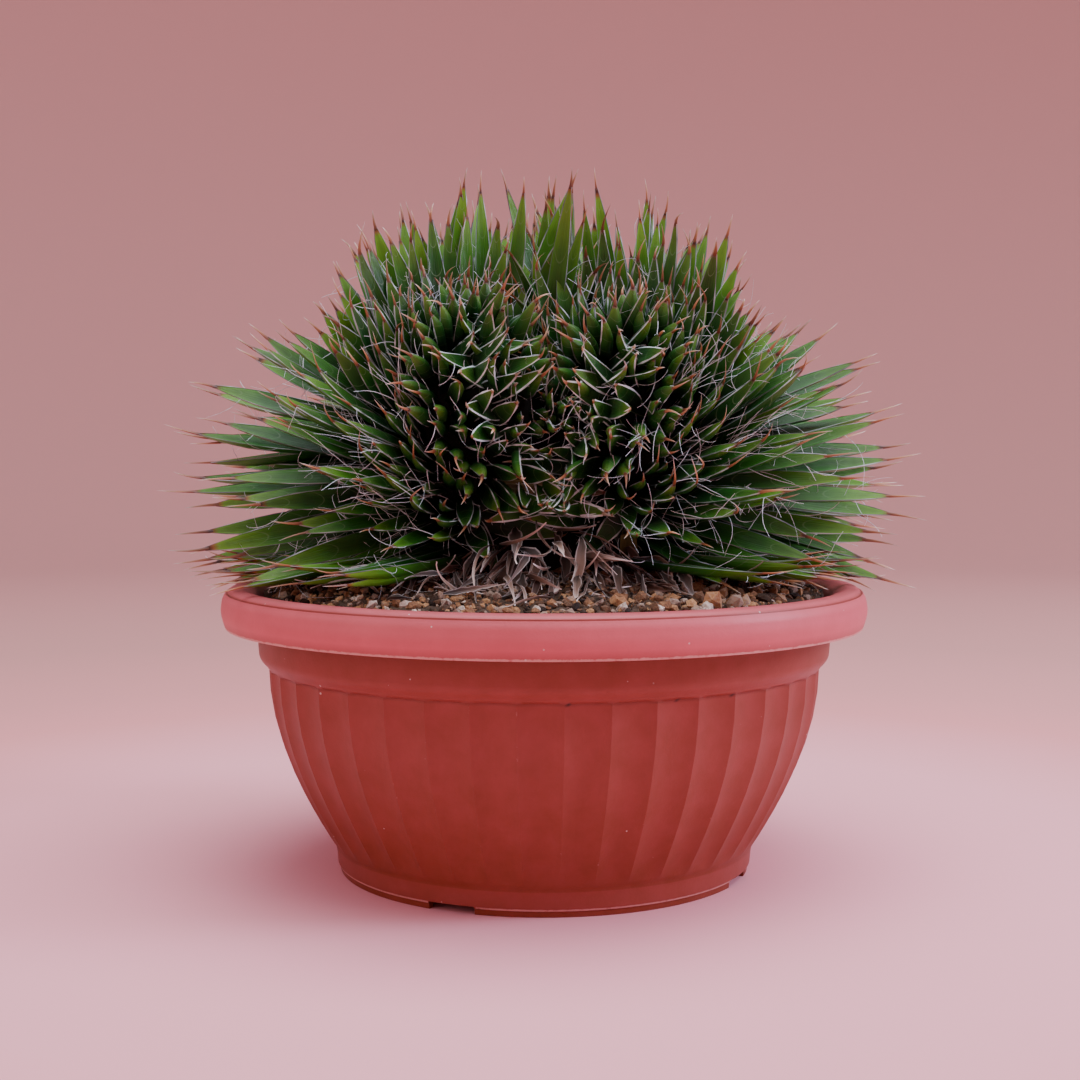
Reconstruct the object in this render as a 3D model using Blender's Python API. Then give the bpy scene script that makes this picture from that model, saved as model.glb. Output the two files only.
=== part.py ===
# Potted crested agave: a moulded plastic bowl, gritty soil, one crested head of leaves and the dried
# leaves that hang under its front. Metres, +Z up. The origin is on the pot's axis at the surface that
# the pot stands on, and -Y is the front, where the head's growing line shows.

import math
import random

import bmesh
import bpy
from mathutils import Vector
from mathutils.bvhtree import BVHTree

# Driving sizes of the pot
POT_HEIGHT = 0.1106
RIM_RADIUS = 0.125
FOOT_RADIUS = 0.0803
FOOT_WIDTH = 0.0035
FOOT_HEIGHT = 0.0106
BODY_RADIUS_LOW = 0.082
BODY_RADIUS_HIGH = 0.1068
FLUTE_TOP = 0.079
BODY_CURVE = 0.95
WALL = 0.003
FLOOR_UNDERSIDE = 0.004
FLOOR_TOP = 0.0065
FLUTES = 42
FLUTE_DEPTH = 0.0011
FIRST_ARRIS = math.radians(3.53)
SEGMENTS = 2 * FLUTES
NOTCHES = 4
NOTCH_CENTRE = math.radians(-24.3)
NOTCH_WIDTH = 0.018
NOTCH_HEIGHT = 0.003
DRAIN_RADIUS = 0.005
DRAIN_CIRCLE = 0.048
DRAIN_RING = 4
DRAIN_SIDES = 8

# Driving sizes of the soil
GAP = 0.0003
SOIL_EDGE = 0.1075
SOIL_STEM = 0.1172
SOIL_SIDES = 42
SOIL_RINGS = 5
SOIL_OFF_WALL = 0.0010
SOIL_BELOW_EDGE = 0.0045
SOIL_LEVELS = (0.020, 0.045, 0.079)
RIM_LEDGE = 0.0158
GRIT_HEIGHT = 0.0011
GRIT_SHIFT = 0.0015
GRIT_TURN = 0.3
GRIT_SEED = 11
STEM_RADII = (0.0505, 0.0425)
STEM_BOTTOM = 0.094
STEM_TOP = 0.128
STEM_SIDES = 24

# Driving sizes of the crested head's core and of its growing line
CORE_CENTRE = Vector((0.0, -0.008, 0.156))
CORE_LUMPS = (
    (Vector((0.0, 0.002, 0.145)), Vector((0.056, 0.046, 0.046))),
    (Vector((-0.030, -0.016, 0.168)), Vector((0.034, 0.041, 0.043))),
    (Vector((0.030, -0.016, 0.168)), Vector((0.034, 0.041, 0.041))),
)
LUMP_BLEND = 14
SLOPE_STEP = 0.0005
GROWING_LINE = (
    (-0.037, -0.066, 0.150),
    (-0.049, -0.058, 0.178),
    (-0.049, -0.042, 0.202),
    (-0.040, -0.028, 0.222),
    (-0.022, -0.025, 0.224),
    (-0.006, -0.038, 0.206),
    (0.002, -0.056, 0.185),
    (0.012, -0.044, 0.201),
    (0.027, -0.030, 0.219),
    (0.042, -0.026, 0.218),
    (0.048, -0.040, 0.199),
    (0.047, -0.054, 0.176),
    (0.039, -0.066, 0.153),
)
LINE_STEPS = 8
FRONT_LIMIT = -0.012

# Driving sizes of the head's leaves: length against distance from the growing line
LEAF_SEED = 5
LEAF_LONGEST = 0.098
LEAF_SHORTEST = 0.016
INNER_LONGEST = 0.034
GROWTH_OUTER = 0.047
GROWTH_INNER = 0.028
OUTER_WIDTH = (0.0042, 0.075)
INNER_WIDTH = (0.0040, 0.155)
LENGTH_SPREAD = (0.86, 1.10)
BEND_SPREAD = (-0.03, 0.09)
DIRECTION_SPREAD = 0.10
FACE_SPREAD = 0.18
CORE_UNDER = 0.005
ROOT_SINK = 0.0115
SHORT_LEAF = 0.050
BLADE_STATIONS = ((0.0, 0.78), (0.42, 1.0), (0.86, 0.20))
SHORT_STATIONS = ((0.0, 0.62), (0.45, 0.95))
BLADE_DEPTH = 0.36

# Driving sizes of the leaves' lean: outwards from the line, and upwards near the crown and the front
INNER_SPLAY = 0.9
OUTER_SPLAY = 0.35
CROWN_START = 0.168
CROWN_RISE = 0.030
CROWN_LIFT = 1.1
SIDE_LIFT = 0.10
FRONT_LIFT = 0.45
FRONT_DEPTH = 0.045
FLAT_FACE = 0.6

# Driving sizes of the leaves' spacing and of the lowest row, which lies over the rim
ROOT_TRIES = 9000
SPACING_OLD = 0.0109
SPACING_YOUNG = 0.0060
ROOTS_LOWEST = 0.128
ROW_HEIGHT = 0.1228
ROW_STEP = math.radians(8.0)
ROW_TURN = math.radians(24.0)
ROW_LENGTH = (0.064, 0.086)
ROW_WIDTH = 0.0102
ROW_FALL = -0.10
ROW_BEND = (0.05, 0.11)

# Driving sizes of the head's reach: an oval with a dip at each shoulder
REACH_CENTRE = Vector((-0.0015, 0.002, 0.125))
REACH = Vector((0.1515, 0.1265, 0.1535))
SHOULDER_ANGLE = math.radians(47.0)
SHOULDER_WIDTH = math.radians(10.0)
SHOULDER_DEPTH = 0.17
CLEARANCE = 0.0012

# Driving sizes of the dried leaves
FRINGE_LOW = 0.1255
FRINGE_RISE = 0.0130
FRINGE_HALF = math.radians(20.0)
FRINGE_SPREAD = math.radians(31.0)
FRINGE_REACH = 0.088
FRINGE_SIDE = 0.07
FRINGE_ROOM = 0.006
DRIED_SEED = 23
DRIED_TRIES = 1500
DRIED_KEPT = 20
DRIED_SPACING = 0.0040
DRIED_LENGTH = (0.018, 0.037)
DRIED_WIDTH = (0.0042, 0.0068)
DRIED_BEND = (-0.22, 0.14)
DRIED_RISE = (-0.55, 0.30)
DRIED_SINK = 0.001
BAND_SPREAD = math.radians(26.5)
BAND_OFF = 0.0012
BAND_DEPTH = 0.006
BAND_STEPS = 8


def clear_scene():
    """Remove every object, so that the part stands alone."""
    for item in list(bpy.data.objects):
        bpy.data.objects.remove(item, do_unlink=True)


def material(name, colour, roughness):
    """A plain surface of one colour."""
    made = bpy.data.materials.new(name)
    made.use_nodes = True
    shader = made.node_tree.nodes["Principled BSDF"]
    shader.inputs["Base Color"].default_value = (*colour, 1.0)
    shader.inputs["Roughness"].default_value = roughness
    shader.inputs["Metallic"].default_value = 0.0
    made.diffuse_color = (*colour, 1.0)
    return made


def mesh_object(name, bm, finish, smooth_angle=None):
    """Make an object of a mesh, with its faces turned outwards."""
    bmesh.ops.recalc_face_normals(bm, faces=bm.faces)
    mesh = bpy.data.meshes.new(name)
    bm.to_mesh(mesh)
    bm.free()
    mesh.materials.append(finish)
    if smooth_angle is not None:
        mesh.shade_smooth()
        mesh.set_sharp_from_angle(angle=smooth_angle)
    made = bpy.data.objects.new(name, mesh)
    bpy.context.scene.collection.objects.link(made)
    return made


def around(angle, radius, height):
    """A point at an angle from the front (-Y), turning towards +X."""
    return Vector((radius * math.sin(angle), -radius * math.cos(angle), height))


def lathe(bm, rings):
    """Skin closed rings of points, and cap the first and the last one."""
    made = [[bm.verts.new(point) for point in ring] for ring in rings]
    count = len(made[0])
    for low, high in zip(made, made[1:]):
        for i in range(count):
            j = (i + 1) % count
            bm.faces.new((low[i], low[j], high[j], high[i]))
    bm.faces.new(list(reversed(made[0])))
    bm.faces.new(made[-1])


# The pot

def body_radius(height):
    """The bowl's outer radius, on the arrises, between its foot and the top of its flutes."""
    part = (height - FOOT_HEIGHT) / (FLUTE_TOP - FOOT_HEIGHT)
    part = min(max(part, 0.0), 1.0)
    swell = math.sin(0.5 * math.pi * part ** BODY_CURVE)
    return BODY_RADIUS_LOW + (BODY_RADIUS_HIGH - BODY_RADIUS_LOW) * swell


def pot_profile():
    """The pot's section as (radius, height, flute share), from under its floor round to its inside."""
    foot_inner = FOOT_RADIUS - FOOT_WIDTH
    rim = RIM_RADIUS
    top = POT_HEIGHT
    profile = [
        (foot_inner - 0.0005, FLOOR_UNDERSIDE, 0.0),
        (foot_inner, 0.0, 0.0),
        (FOOT_RADIUS, 0.0, 0.0),
        (FOOT_RADIUS + 0.0011, 0.0082, 0.0),
        (BODY_RADIUS_LOW, FOOT_HEIGHT, 0.0),
    ]
    for height, share in ((0.015, 0.8), (0.029, 1.0), (0.052, 1.0), (FLUTE_TOP, 1.0)):
        profile.append((body_radius(height), height, share))
    profile += [
        (rim - 0.0172, FLUTE_TOP + 0.0018, 0.0),
        (rim - 0.0145, FLUTE_TOP + 0.0056, 0.0),
        (rim - 0.0085, top - 0.0028, 0.0),
        (rim - 0.0026, top - 0.0060, 0.0),
        (rim - 0.0033, top - 0.0152, 0.0),
        (rim - 0.0017, top - 0.0152, 0.0),
        (rim, top - 0.0093, 0.0),
        (rim - 0.0011, top - 0.0043, 0.0),
        (rim - 0.0046, top - 0.0003, 0.0),
        (rim - 0.0085, top, 0.0),
        (rim - 0.0134, top - 0.0024, 0.0),
        (rim - 0.0157, top - 0.0080, 0.0),
        (body_radius(FLUTE_TOP) - WALL, FLUTE_TOP, 0.0),
        (body_radius(0.045) - WALL, 0.045, 0.0),
        (body_radius(0.020) - WALL, 0.020, 0.0),
        (foot_inner - 0.0010, FLOOR_TOP, 0.0),
    ]
    return profile


def add_cutter(name, bm, group):
    """Keep a mesh as a hidden tool that cuts the pot."""
    cutter = mesh_object(name, bm, bpy.data.materials["pot_plastic"])
    bpy.context.scene.collection.objects.unlink(cutter)
    group.objects.link(cutter)
    cutter.hide_render = True
    cutter.display_type = "WIRE"


def pot_cutters():
    """Boxes that cut the notches in the foot, and rods that cut the drain holes in the floor."""
    group = bpy.data.collections.new("pot_cutters")
    bpy.context.scene.collection.children.link(group)
    inner = FOOT_RADIUS - 2.0 * FOOT_WIDTH
    outer = FOOT_RADIUS + FOOT_WIDTH
    for i in range(NOTCHES):
        angle = NOTCH_CENTRE + i * 2.0 * math.pi / NOTCHES
        out = around(angle, 1.0, 0.0)
        side = around(angle + 0.5 * math.pi, 1.0, 0.0)
        bm = bmesh.new()
        rings = []
        for height in (-NOTCH_HEIGHT, NOTCH_HEIGHT):
            lift = Vector((0.0, 0.0, height))
            corners = ((inner, -0.5), (outer, -0.5), (outer, 0.5), (inner, 0.5))
            rings.append([out * far + side * (across * NOTCH_WIDTH) + lift for far, across in corners])
        lathe(bm, rings)
        add_cutter(f"cutter_notch_{i + 1}", bm, group)
    turn = 2.0 * math.pi / DRAIN_RING
    centres = [Vector((0.0, 0.0, 0.0))]
    centres += [around((i + 0.5) * turn, DRAIN_CIRCLE, 0.0) for i in range(DRAIN_RING)]
    for i, centre in enumerate(centres):
        bm = bmesh.new()
        angles = [2.0 * math.pi * k / DRAIN_SIDES for k in range(DRAIN_SIDES)]
        heights = (FLOOR_UNDERSIDE - 0.002, FLOOR_TOP + 0.002)
        lathe(bm, [[centre + around(a, DRAIN_RADIUS, h) for a in angles] for h in heights])
        add_cutter(f"cutter_drain_{i + 1}", bm, group)
    return group


def build_pot(finish):
    """The fluted bowl with its rolled rim, its notched foot ring and its drain holes."""
    rings = []
    for radius, height, share in pot_profile():
        ring = []
        for k in range(SEGMENTS):
            angle = FIRST_ARRIS + 2.0 * math.pi * k / SEGMENTS
            in_flute = k % 2
            ring.append(around(angle, radius - share * FLUTE_DEPTH * in_flute, height))
        rings.append(ring)
    bm = bmesh.new()
    lathe(bm, rings)
    pot = mesh_object("pot", bm, finish, math.radians(18.0))
    cut = pot.modifiers.new("openings", "BOOLEAN")
    cut.operation = "DIFFERENCE"
    cut.operand_type = "COLLECTION"
    cut.collection = pot_cutters()
    cut.solver = "EXACT"
    return pot


# The soil

def stem_radius(angle):
    """Radius of the stem's oval at an angle from the front."""
    across, along = STEM_RADII
    return 1.0 / math.hypot(math.sin(angle) / across, math.cos(angle) / along)


def soil_height(x, y):
    """Level of the soil without its grit: highest at the stem and falling to the pot's wall."""
    angle = math.atan2(x, -y)
    inner = stem_radius(angle)
    outer = RIM_RADIUS - RIM_LEDGE
    part = (math.hypot(x, y) - inner) / (outer - inner)
    part = min(max(part, 0.0), 1.0)
    return SOIL_EDGE + (SOIL_STEM - SOIL_EDGE) * (1.0 - part)


def build_soil(finish):
    """The soil: it fills the bowl, slopes up to the stem and has a plain hole for it."""
    rng = random.Random(GRIT_SEED)
    step = 2.0 * math.pi / SOIL_SIDES
    angles = [step * k for k in range(SOIL_SIDES)]
    hole = [stem_radius(a) + GAP for a in angles]
    rings = [[around(a, FOOT_RADIUS - 0.020, FLOOR_TOP + GAP) for a in angles]]
    for height in SOIL_LEVELS:
        radius = body_radius(height) - WALL - GAP - SOIL_OFF_WALL
        rings.append([around(a, radius, height) for a in angles])
    edge = RIM_RADIUS - RIM_LEDGE - GAP - 0.6 * SOIL_OFF_WALL
    rings.append([around(a, edge, SOIL_EDGE - SOIL_BELOW_EDGE) for a in angles])
    for k in range(SOIL_RINGS + 1):
        ring = []
        loose = 1.0 if 0 < k < SOIL_RINGS else 0.0
        for a, inner in zip(angles, hole):
            turn = loose * rng.uniform(-GRIT_TURN, GRIT_TURN) * step
            radius = edge + (inner - edge) * k / SOIL_RINGS + loose * rng.uniform(-GRIT_SHIFT, GRIT_SHIFT)
            point = around(a + turn, radius, 0.0)
            point.z = soil_height(point.x, point.y) + rng.uniform(-GRIT_HEIGHT, GRIT_HEIGHT)
            ring.append(point)
        rings.append(ring)
    rings.append([around(a, r, STEM_BOTTOM - GAP) for a, r in zip(angles, hole)])
    bm = bmesh.new()
    lathe(bm, rings)
    bmesh.ops.triangulate(bm, faces=bm.faces)
    return mesh_object("soil", bm, finish)


# The crested head: where its leaves root and how they grow

def core_radius(direction):
    """Distance from CORE_CENTRE to the core's surface: a soft union of the core's lumps."""
    total = 0.0
    for centre, axes in CORE_LUMPS:
        start = [(CORE_CENTRE[i] - centre[i]) / axes[i] for i in range(3)]
        ray = [direction[i] / axes[i] for i in range(3)]
        a = sum(r * r for r in ray)
        b = sum(r * s for r, s in zip(ray, start))
        c = sum(s * s for s in start) - 1.0
        reach = (math.sqrt(b * b - a * c) - b) / a
        total += (reach / RIM_RADIUS) ** LUMP_BLEND
    return RIM_RADIUS * total ** (1.0 / LUMP_BLEND)


def on_core(point):
    """The point of the core's surface that lies in the same direction from its centre."""
    direction = (Vector(point) - CORE_CENTRE).normalized()
    return CORE_CENTRE + core_radius(direction) * direction


def core_normal(point):
    """Outward normal of the core's surface, by differences."""
    slopes = []
    for i in range(3):
        ends = []
        for sign in (1.0, -1.0):
            moved = point.copy()
            moved[i] += sign * SLOPE_STEP
            arm = moved - CORE_CENTRE
            ends.append(arm.length - core_radius(arm.normalized()))
        slopes.append(ends[0] - ends[1])
    return Vector(slopes).normalized()


def growing_line():
    """The growing line on the core's surface, as a smooth row of points through its own few."""
    knots = [Vector(p) for p in GROWING_LINE]
    knots = [2.0 * knots[0] - knots[1]] + knots + [2.0 * knots[-1] - knots[-2]]
    points = []
    for i in range(1, len(knots) - 2):
        a, b, c, d = knots[i - 1:i + 3]
        for k in range(LINE_STEPS):
            t = k / LINE_STEPS
            smooth = 2.0 * b + (c - a) * t
            smooth += (2.0 * a - 5.0 * b + 4.0 * c - d) * t * t
            smooth += (3.0 * b - a - 3.0 * c + d) * t ** 3
            points.append(on_core(0.5 * smooth))
    points.append(on_core(knots[-2]))
    return points


def inside_loop(point, line):
    """Whether a point is on the head's front, below the growing line and between its two legs."""
    if point.y > FRONT_LIMIT:
        return False
    loop = [(p.x, p.z) for p in line]
    loop += [(loop[-1][0], 0.0), (loop[0][0], 0.0)]
    inside = False
    for (x1, z1), (x2, z2) in zip(loop, loop[1:] + loop[:1]):
        if (z1 > point.z) != (z2 > point.z):
            if point.x < x1 + (x2 - x1) * (point.z - z1) / (z2 - z1):
                inside = not inside
    return inside


def ease(value):
    """A smooth step from 0 to 1."""
    value = min(max(value, 0.0), 1.0)
    return value * value * (3.0 - 2.0 * value)


def random_direction(rng):
    """A direction drawn evenly from all round."""
    height = rng.uniform(-1.0, 1.0)
    angle = rng.uniform(0.0, 2.0 * math.pi)
    flat = math.sqrt(1.0 - height * height)
    return Vector((flat * math.sin(angle), flat * math.cos(angle), height))


def nearest_on_line(point, line):
    """The growing line's point nearest to a point, and how far away it is."""
    nearest = min(line, key=lambda p: (p - point).length_squared)
    return nearest, (point - nearest).length


def square_to(vector, direction):
    """The part of a vector that is square to a direction, as a unit vector."""
    flat = vector - vector.dot(direction) * direction
    return flat.normalized() if flat.length > 1e-6 else direction.orthogonal().normalized()


def scatter(rng, spread):
    """A small random offset."""
    return Vector([rng.gauss(0.0, spread) for _ in range(3)])


def make_leaf(rng, root, direction, face, length, width, bend):
    """A leaf's frame and sizes: its face looks square off its direction, and bend curls it to its face."""
    return {
        "root": root,
        "direction": direction,
        "face": square_to(square_to(face, direction) + scatter(rng, FACE_SPREAD), direction),
        "length": length,
        "width": width,
        "bend": rng.uniform(*bend),
        "sink": ROOT_SINK,
    }


def grow_leaf(rng, root, line):
    """One leaf of the head: older leaves are longer and lean away from the growing line."""
    nearest, distance = nearest_on_line(root, line)
    normal = core_normal(root)
    away = square_to(root - nearest, normal)
    inner = inside_loop(root, line)
    if inner:
        age = ease(distance / GROWTH_INNER)
        length = LEAF_SHORTEST + (INNER_LONGEST - LEAF_SHORTEST) * age
        width = INNER_WIDTH[0] + INNER_WIDTH[1] * length
        direction = normal + INNER_SPLAY * age * away
    else:
        age = ease(distance / GROWTH_OUTER)
        length = LEAF_SHORTEST + (LEAF_LONGEST - LEAF_SHORTEST) * age
        width = OUTER_WIDTH[0] + OUTER_WIDTH[1] * length
        crown = ease((root.z - CROWN_START) / CROWN_RISE)
        front = ease(-root.y / FRONT_DEPTH)
        lift = SIDE_LIFT + CROWN_LIFT * crown + FRONT_LIFT * front * (1.0 - crown)
        splay = OUTER_SPLAY * age * (1.0 - 0.5 * crown)
        direction = normal + splay * away + Vector((0.0, 0.0, lift))
    direction = (direction.normalized() + scatter(rng, DIRECTION_SPREAD)).normalized()
    length *= rng.uniform(*LENGTH_SPREAD)
    face = square_to(0.5 * normal - away, direction)
    if direction.z < FLAT_FACE and not inner:
        face += FLAT_FACE * square_to(Vector((0.0, 0.0, 1.0)), direction)
    return make_leaf(rng, root, direction, face, length, width, BEND_SPREAD)


def lowest_row(rng):
    """The lowest leaves: they start over the soil, sag over the rim and curl up at their tips."""
    leaves = []
    first = FRINGE_SPREAD + FRINGE_SIDE
    count = int((math.pi - first) / ROW_STEP)
    for k in range(count + 1):
        for sign in (-1.0, 1.0):
            angle = sign * (first + k * ROW_STEP)
            root = around(angle, stem_radius(angle), ROW_HEIGHT + rng.uniform(0.0, 0.002))
            turned = angle + sign * ROW_TURN * (k % 2) + rng.gauss(0.0, DIRECTION_SPREAD)
            direction = around(turned, 1.0, ROW_FALL).normalized()
            length = rng.uniform(*ROW_LENGTH)
            up = Vector((0.0, 0.0, 1.0))
            leaves.append(make_leaf(rng, root, direction, up, length, ROW_WIDTH, ROW_BEND))
    return leaves


def spine_line(leaf, along):
    """A point of the leaf's middle, along being 0 at its root and 1 at its tip."""
    straight = leaf["root"] + leaf["direction"] * (along * leaf["length"])
    return straight + leaf["face"] * (leaf["bend"] * leaf["length"] * max(along, 0.0) ** 2)


def fringe_top(angle):
    """Height that the dried leaves keep to and the green ones stay over: highest at the front."""
    return FRINGE_LOW + FRINGE_RISE * math.exp(-((angle / FRINGE_HALF) ** 2))


def ground(x, y, over_fringe):
    """Height of the top of whatever lies under a point: the rim, the soil or the dried fringe."""
    radius = math.hypot(x, y)
    angle = math.atan2(x, -y)
    if radius > RIM_RADIUS + CLEARANCE:
        return 0.0
    if radius > RIM_RADIUS - RIM_LEDGE - CLEARANCE:
        return POT_HEIGHT
    soil = soil_height(x, y) + GRIT_HEIGHT
    if over_fringe and radius < FRINGE_REACH and abs(angle) < FRINGE_SPREAD + FRINGE_SIDE:
        return max(soil, fringe_top(angle))
    return soil


def is_clear(leaf, clearance, over_fringe):
    """Whether the leaf passes over what lies under it."""
    for step in range(3, 21):
        along = step / 20.0
        point = spine_line(leaf, along)
        thick = 0.30 * leaf["width"] * min(1.0, 3.2 * (1.0 - along))
        if point.z - thick < ground(point.x, point.y, over_fringe) + clearance:
            return False
    return True


def fit_leaf(leaf):
    """Raise a leaf until it clears the pot and the soil, and shorten it to the head's reach."""
    for _ in range(40):
        if is_clear(leaf, CLEARANCE, True):
            break
        leaf["direction"] = (leaf["direction"] + Vector((0.0, 0.0, 0.03))).normalized()
        leaf["face"] = square_to(leaf["face"], leaf["direction"])
    for _ in range(40):
        arm = spine_line(leaf, 1.0) - REACH_CENTRE
        off = (math.atan2(arm.z, abs(arm.x)) - SHOULDER_ANGLE) / SHOULDER_WIDTH
        limit = 1.0 - SHOULDER_DEPTH * math.exp(-off * off)
        if sum((arm[i] / REACH[i]) ** 2 for i in range(3)) <= limit * limit:
            break
        leaf["length"] *= 0.985
    return leaf


def head_roots(rng, line, taken):
    """Throw roots on the core and keep those with room round them: less room near the growing line."""
    kept = list(taken)
    for _ in range(ROOT_TRIES):
        root = on_core(CORE_CENTRE + random_direction(rng))
        angle = math.atan2(root.x, -root.y)
        lowest = ROOTS_LOWEST
        if abs(angle) < FRINGE_SPREAD + FRINGE_SIDE:
            lowest = fringe_top(angle) + FRINGE_ROOM
        if root.z < lowest:
            continue
        old = ease(nearest_on_line(root, line)[1] / GROWTH_OUTER)
        room = SPACING_YOUNG + (SPACING_OLD - SPACING_YOUNG) * old
        if all((root - other).length_squared > room * room for other in kept):
            kept.append(root)
    return kept[len(taken):]


def head_leaves():
    """All the leaves of the crested head."""
    rng = random.Random(LEAF_SEED)
    line = growing_line()
    leaves = lowest_row(rng)
    roots = head_roots(rng, line, [leaf["root"] for leaf in leaves])
    leaves += [grow_leaf(rng, root, line) for root in roots]
    return [fit_leaf(leaf) for leaf in leaves]


def leaf_mesh(leaf, stations):
    """A three-sided blade: two edges and a keel, from its sunk root to its point."""
    side = leaf["direction"].cross(leaf["face"]).normalized()
    bm = bmesh.new()
    rings = []
    for along, share in stations:
        if along == 0.0:
            middle = leaf["root"] - leaf["direction"] * leaf["sink"]
        else:
            middle = spine_line(leaf, along)
        half = 0.5 * leaf["width"] * share
        keel = BLADE_DEPTH * leaf["width"] * min(1.0, share * 1.25)
        ring = (
            middle + side * half + leaf["face"] * (0.2 * keel),
            middle - leaf["face"] * (0.8 * keel),
            middle - side * half + leaf["face"] * (0.2 * keel),
        )
        rings.append([bm.verts.new(point) for point in ring])
    tip = bm.verts.new(spine_line(leaf, 1.0))
    for low, high in zip(rings, rings[1:]):
        for i in range(3):
            j = (i + 1) % 3
            bm.faces.new((low[i], low[j], high[j]))
            bm.faces.new((low[i], high[j], high[i]))
    for i in range(3):
        bm.faces.new((rings[-1][i], rings[-1][(i + 1) % 3], tip))
    bm.faces.new(list(reversed(rings[0])))
    return bm


def fuse(body, pieces, solver):
    """Join the pieces to the body with one Boolean union, and remove them."""
    group = bpy.data.collections.new(body.name + "_pieces")
    bpy.context.scene.collection.children.link(group)
    for piece in pieces:
        bpy.context.scene.collection.objects.unlink(piece)
        group.objects.link(piece)
    join = body.modifiers.new("join", "BOOLEAN")
    join.operation = "UNION"
    join.operand_type = "COLLECTION"
    join.collection = group
    join.solver = solver
    bpy.context.view_layer.update()
    evaluated = body.evaluated_get(bpy.context.evaluated_depsgraph_get())
    joined = bpy.data.meshes.new_from_object(evaluated)
    body.modifiers.clear()
    finish = body.data.materials[0]
    body.data = joined
    joined.materials.clear()
    joined.materials.append(finish)
    for piece in pieces:
        bpy.data.objects.remove(piece, do_unlink=True)
    bpy.data.collections.remove(group)


def keep_largest(body):
    """Drop loose scraps, so that the node is one body."""
    bm = bmesh.new()
    bm.from_mesh(body.data)
    left = set(bm.verts)
    groups = []
    while left:
        seed = left.pop()
        group = {seed}
        edge = [seed]
        while edge:
            vert = edge.pop()
            for link in vert.link_edges:
                other = link.other_vert(vert)
                if other in left:
                    left.remove(other)
                    group.add(other)
                    edge.append(other)
        groups.append(group)
    groups.sort(key=len)
    for group in groups[:-1]:
        bmesh.ops.delete(bm, geom=list(group), context="VERTS")
    bmesh.ops.triangulate(bm, faces=bm.faces)
    bm.to_mesh(body.data)
    bm.free()


def build_head(finish):
    """The crested head: its core, its stem and all its leaves as one body."""
    bm = bmesh.new()
    bmesh.ops.create_icosphere(bm, subdivisions=3, radius=1.0)
    for vert in bm.verts:
        direction = vert.co.normalized()
        vert.co = CORE_CENTRE + (core_radius(direction) - CORE_UNDER) * direction
    head = mesh_object("crested_agave", bm, finish)
    bm = bmesh.new()
    angles = [2.0 * math.pi * k / STEM_SIDES for k in range(STEM_SIDES)]
    lathe(bm, [[around(a, stem_radius(a), h) for a in angles] for h in (STEM_BOTTOM, STEM_TOP)])
    pieces = [mesh_object("stem", bm, finish)]
    for i, leaf in enumerate(head_leaves()):
        stations = BLADE_STATIONS if leaf["length"] > SHORT_LEAF else SHORT_STATIONS
        pieces.append(mesh_object(f"leaf_{i}", leaf_mesh(leaf, stations), finish))
    fuse(head, pieces, "MANIFOLD")
    keep_largest(head)
    return head


# The dried leaves: a fringe on a low band that hugs the stem's front

def core_reach(angle, height):
    """How far the core reaches from the pot's axis at an angle and a height."""
    near, far = 0.0, RIM_RADIUS
    for _ in range(24):
        middle = 0.5 * (near + far)
        arm = around(angle, middle, height) - CORE_CENTRE
        if arm.length < core_radius(arm.normalized()):
            near = middle
        else:
            far = middle
    return near


def band_radius(angle):
    """Inner radius of the dried leaves' band: clear of the stem and of the core over it."""
    top = fringe_top(angle) - 0.002
    return max(stem_radius(angle), core_reach(angle, top)) + BAND_OFF


def dried_leaf(rng):
    """One dried leaf: curled, rooted in the band and hanging out over the soil."""
    angle = rng.gauss(0.0, 0.55) * BAND_SPREAD
    angle = min(max(angle, -0.92 * BAND_SPREAD), 0.92 * BAND_SPREAD)
    low = soil_height(*around(angle, band_radius(angle), 0.0).xy) + 0.004
    height = rng.uniform(low, fringe_top(angle) - 0.0035)
    out = around(angle + rng.gauss(0.0, 0.38), 1.0, rng.uniform(*DRIED_RISE)).normalized()
    side = Vector((rng.gauss(0.0, 0.5), rng.gauss(0.0, 0.5), 1.0))
    return {
        "root": around(angle, band_radius(angle) + 0.30 * BAND_DEPTH, height),
        "direction": out,
        "face": square_to(side, out),
        "length": rng.uniform(*DRIED_LENGTH),
        "width": rng.uniform(*DRIED_WIDTH),
        "bend": rng.uniform(*DRIED_BEND),
        "sink": DRIED_SINK,
    }


def swollen(bm, margin):
    """A copy of a mesh with its points moved out by a margin."""
    grown = bm.copy()
    bmesh.ops.recalc_face_normals(grown, faces=grown.faces)
    for vert in grown.verts:
        vert.co += vert.normal * margin
    return grown


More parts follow.
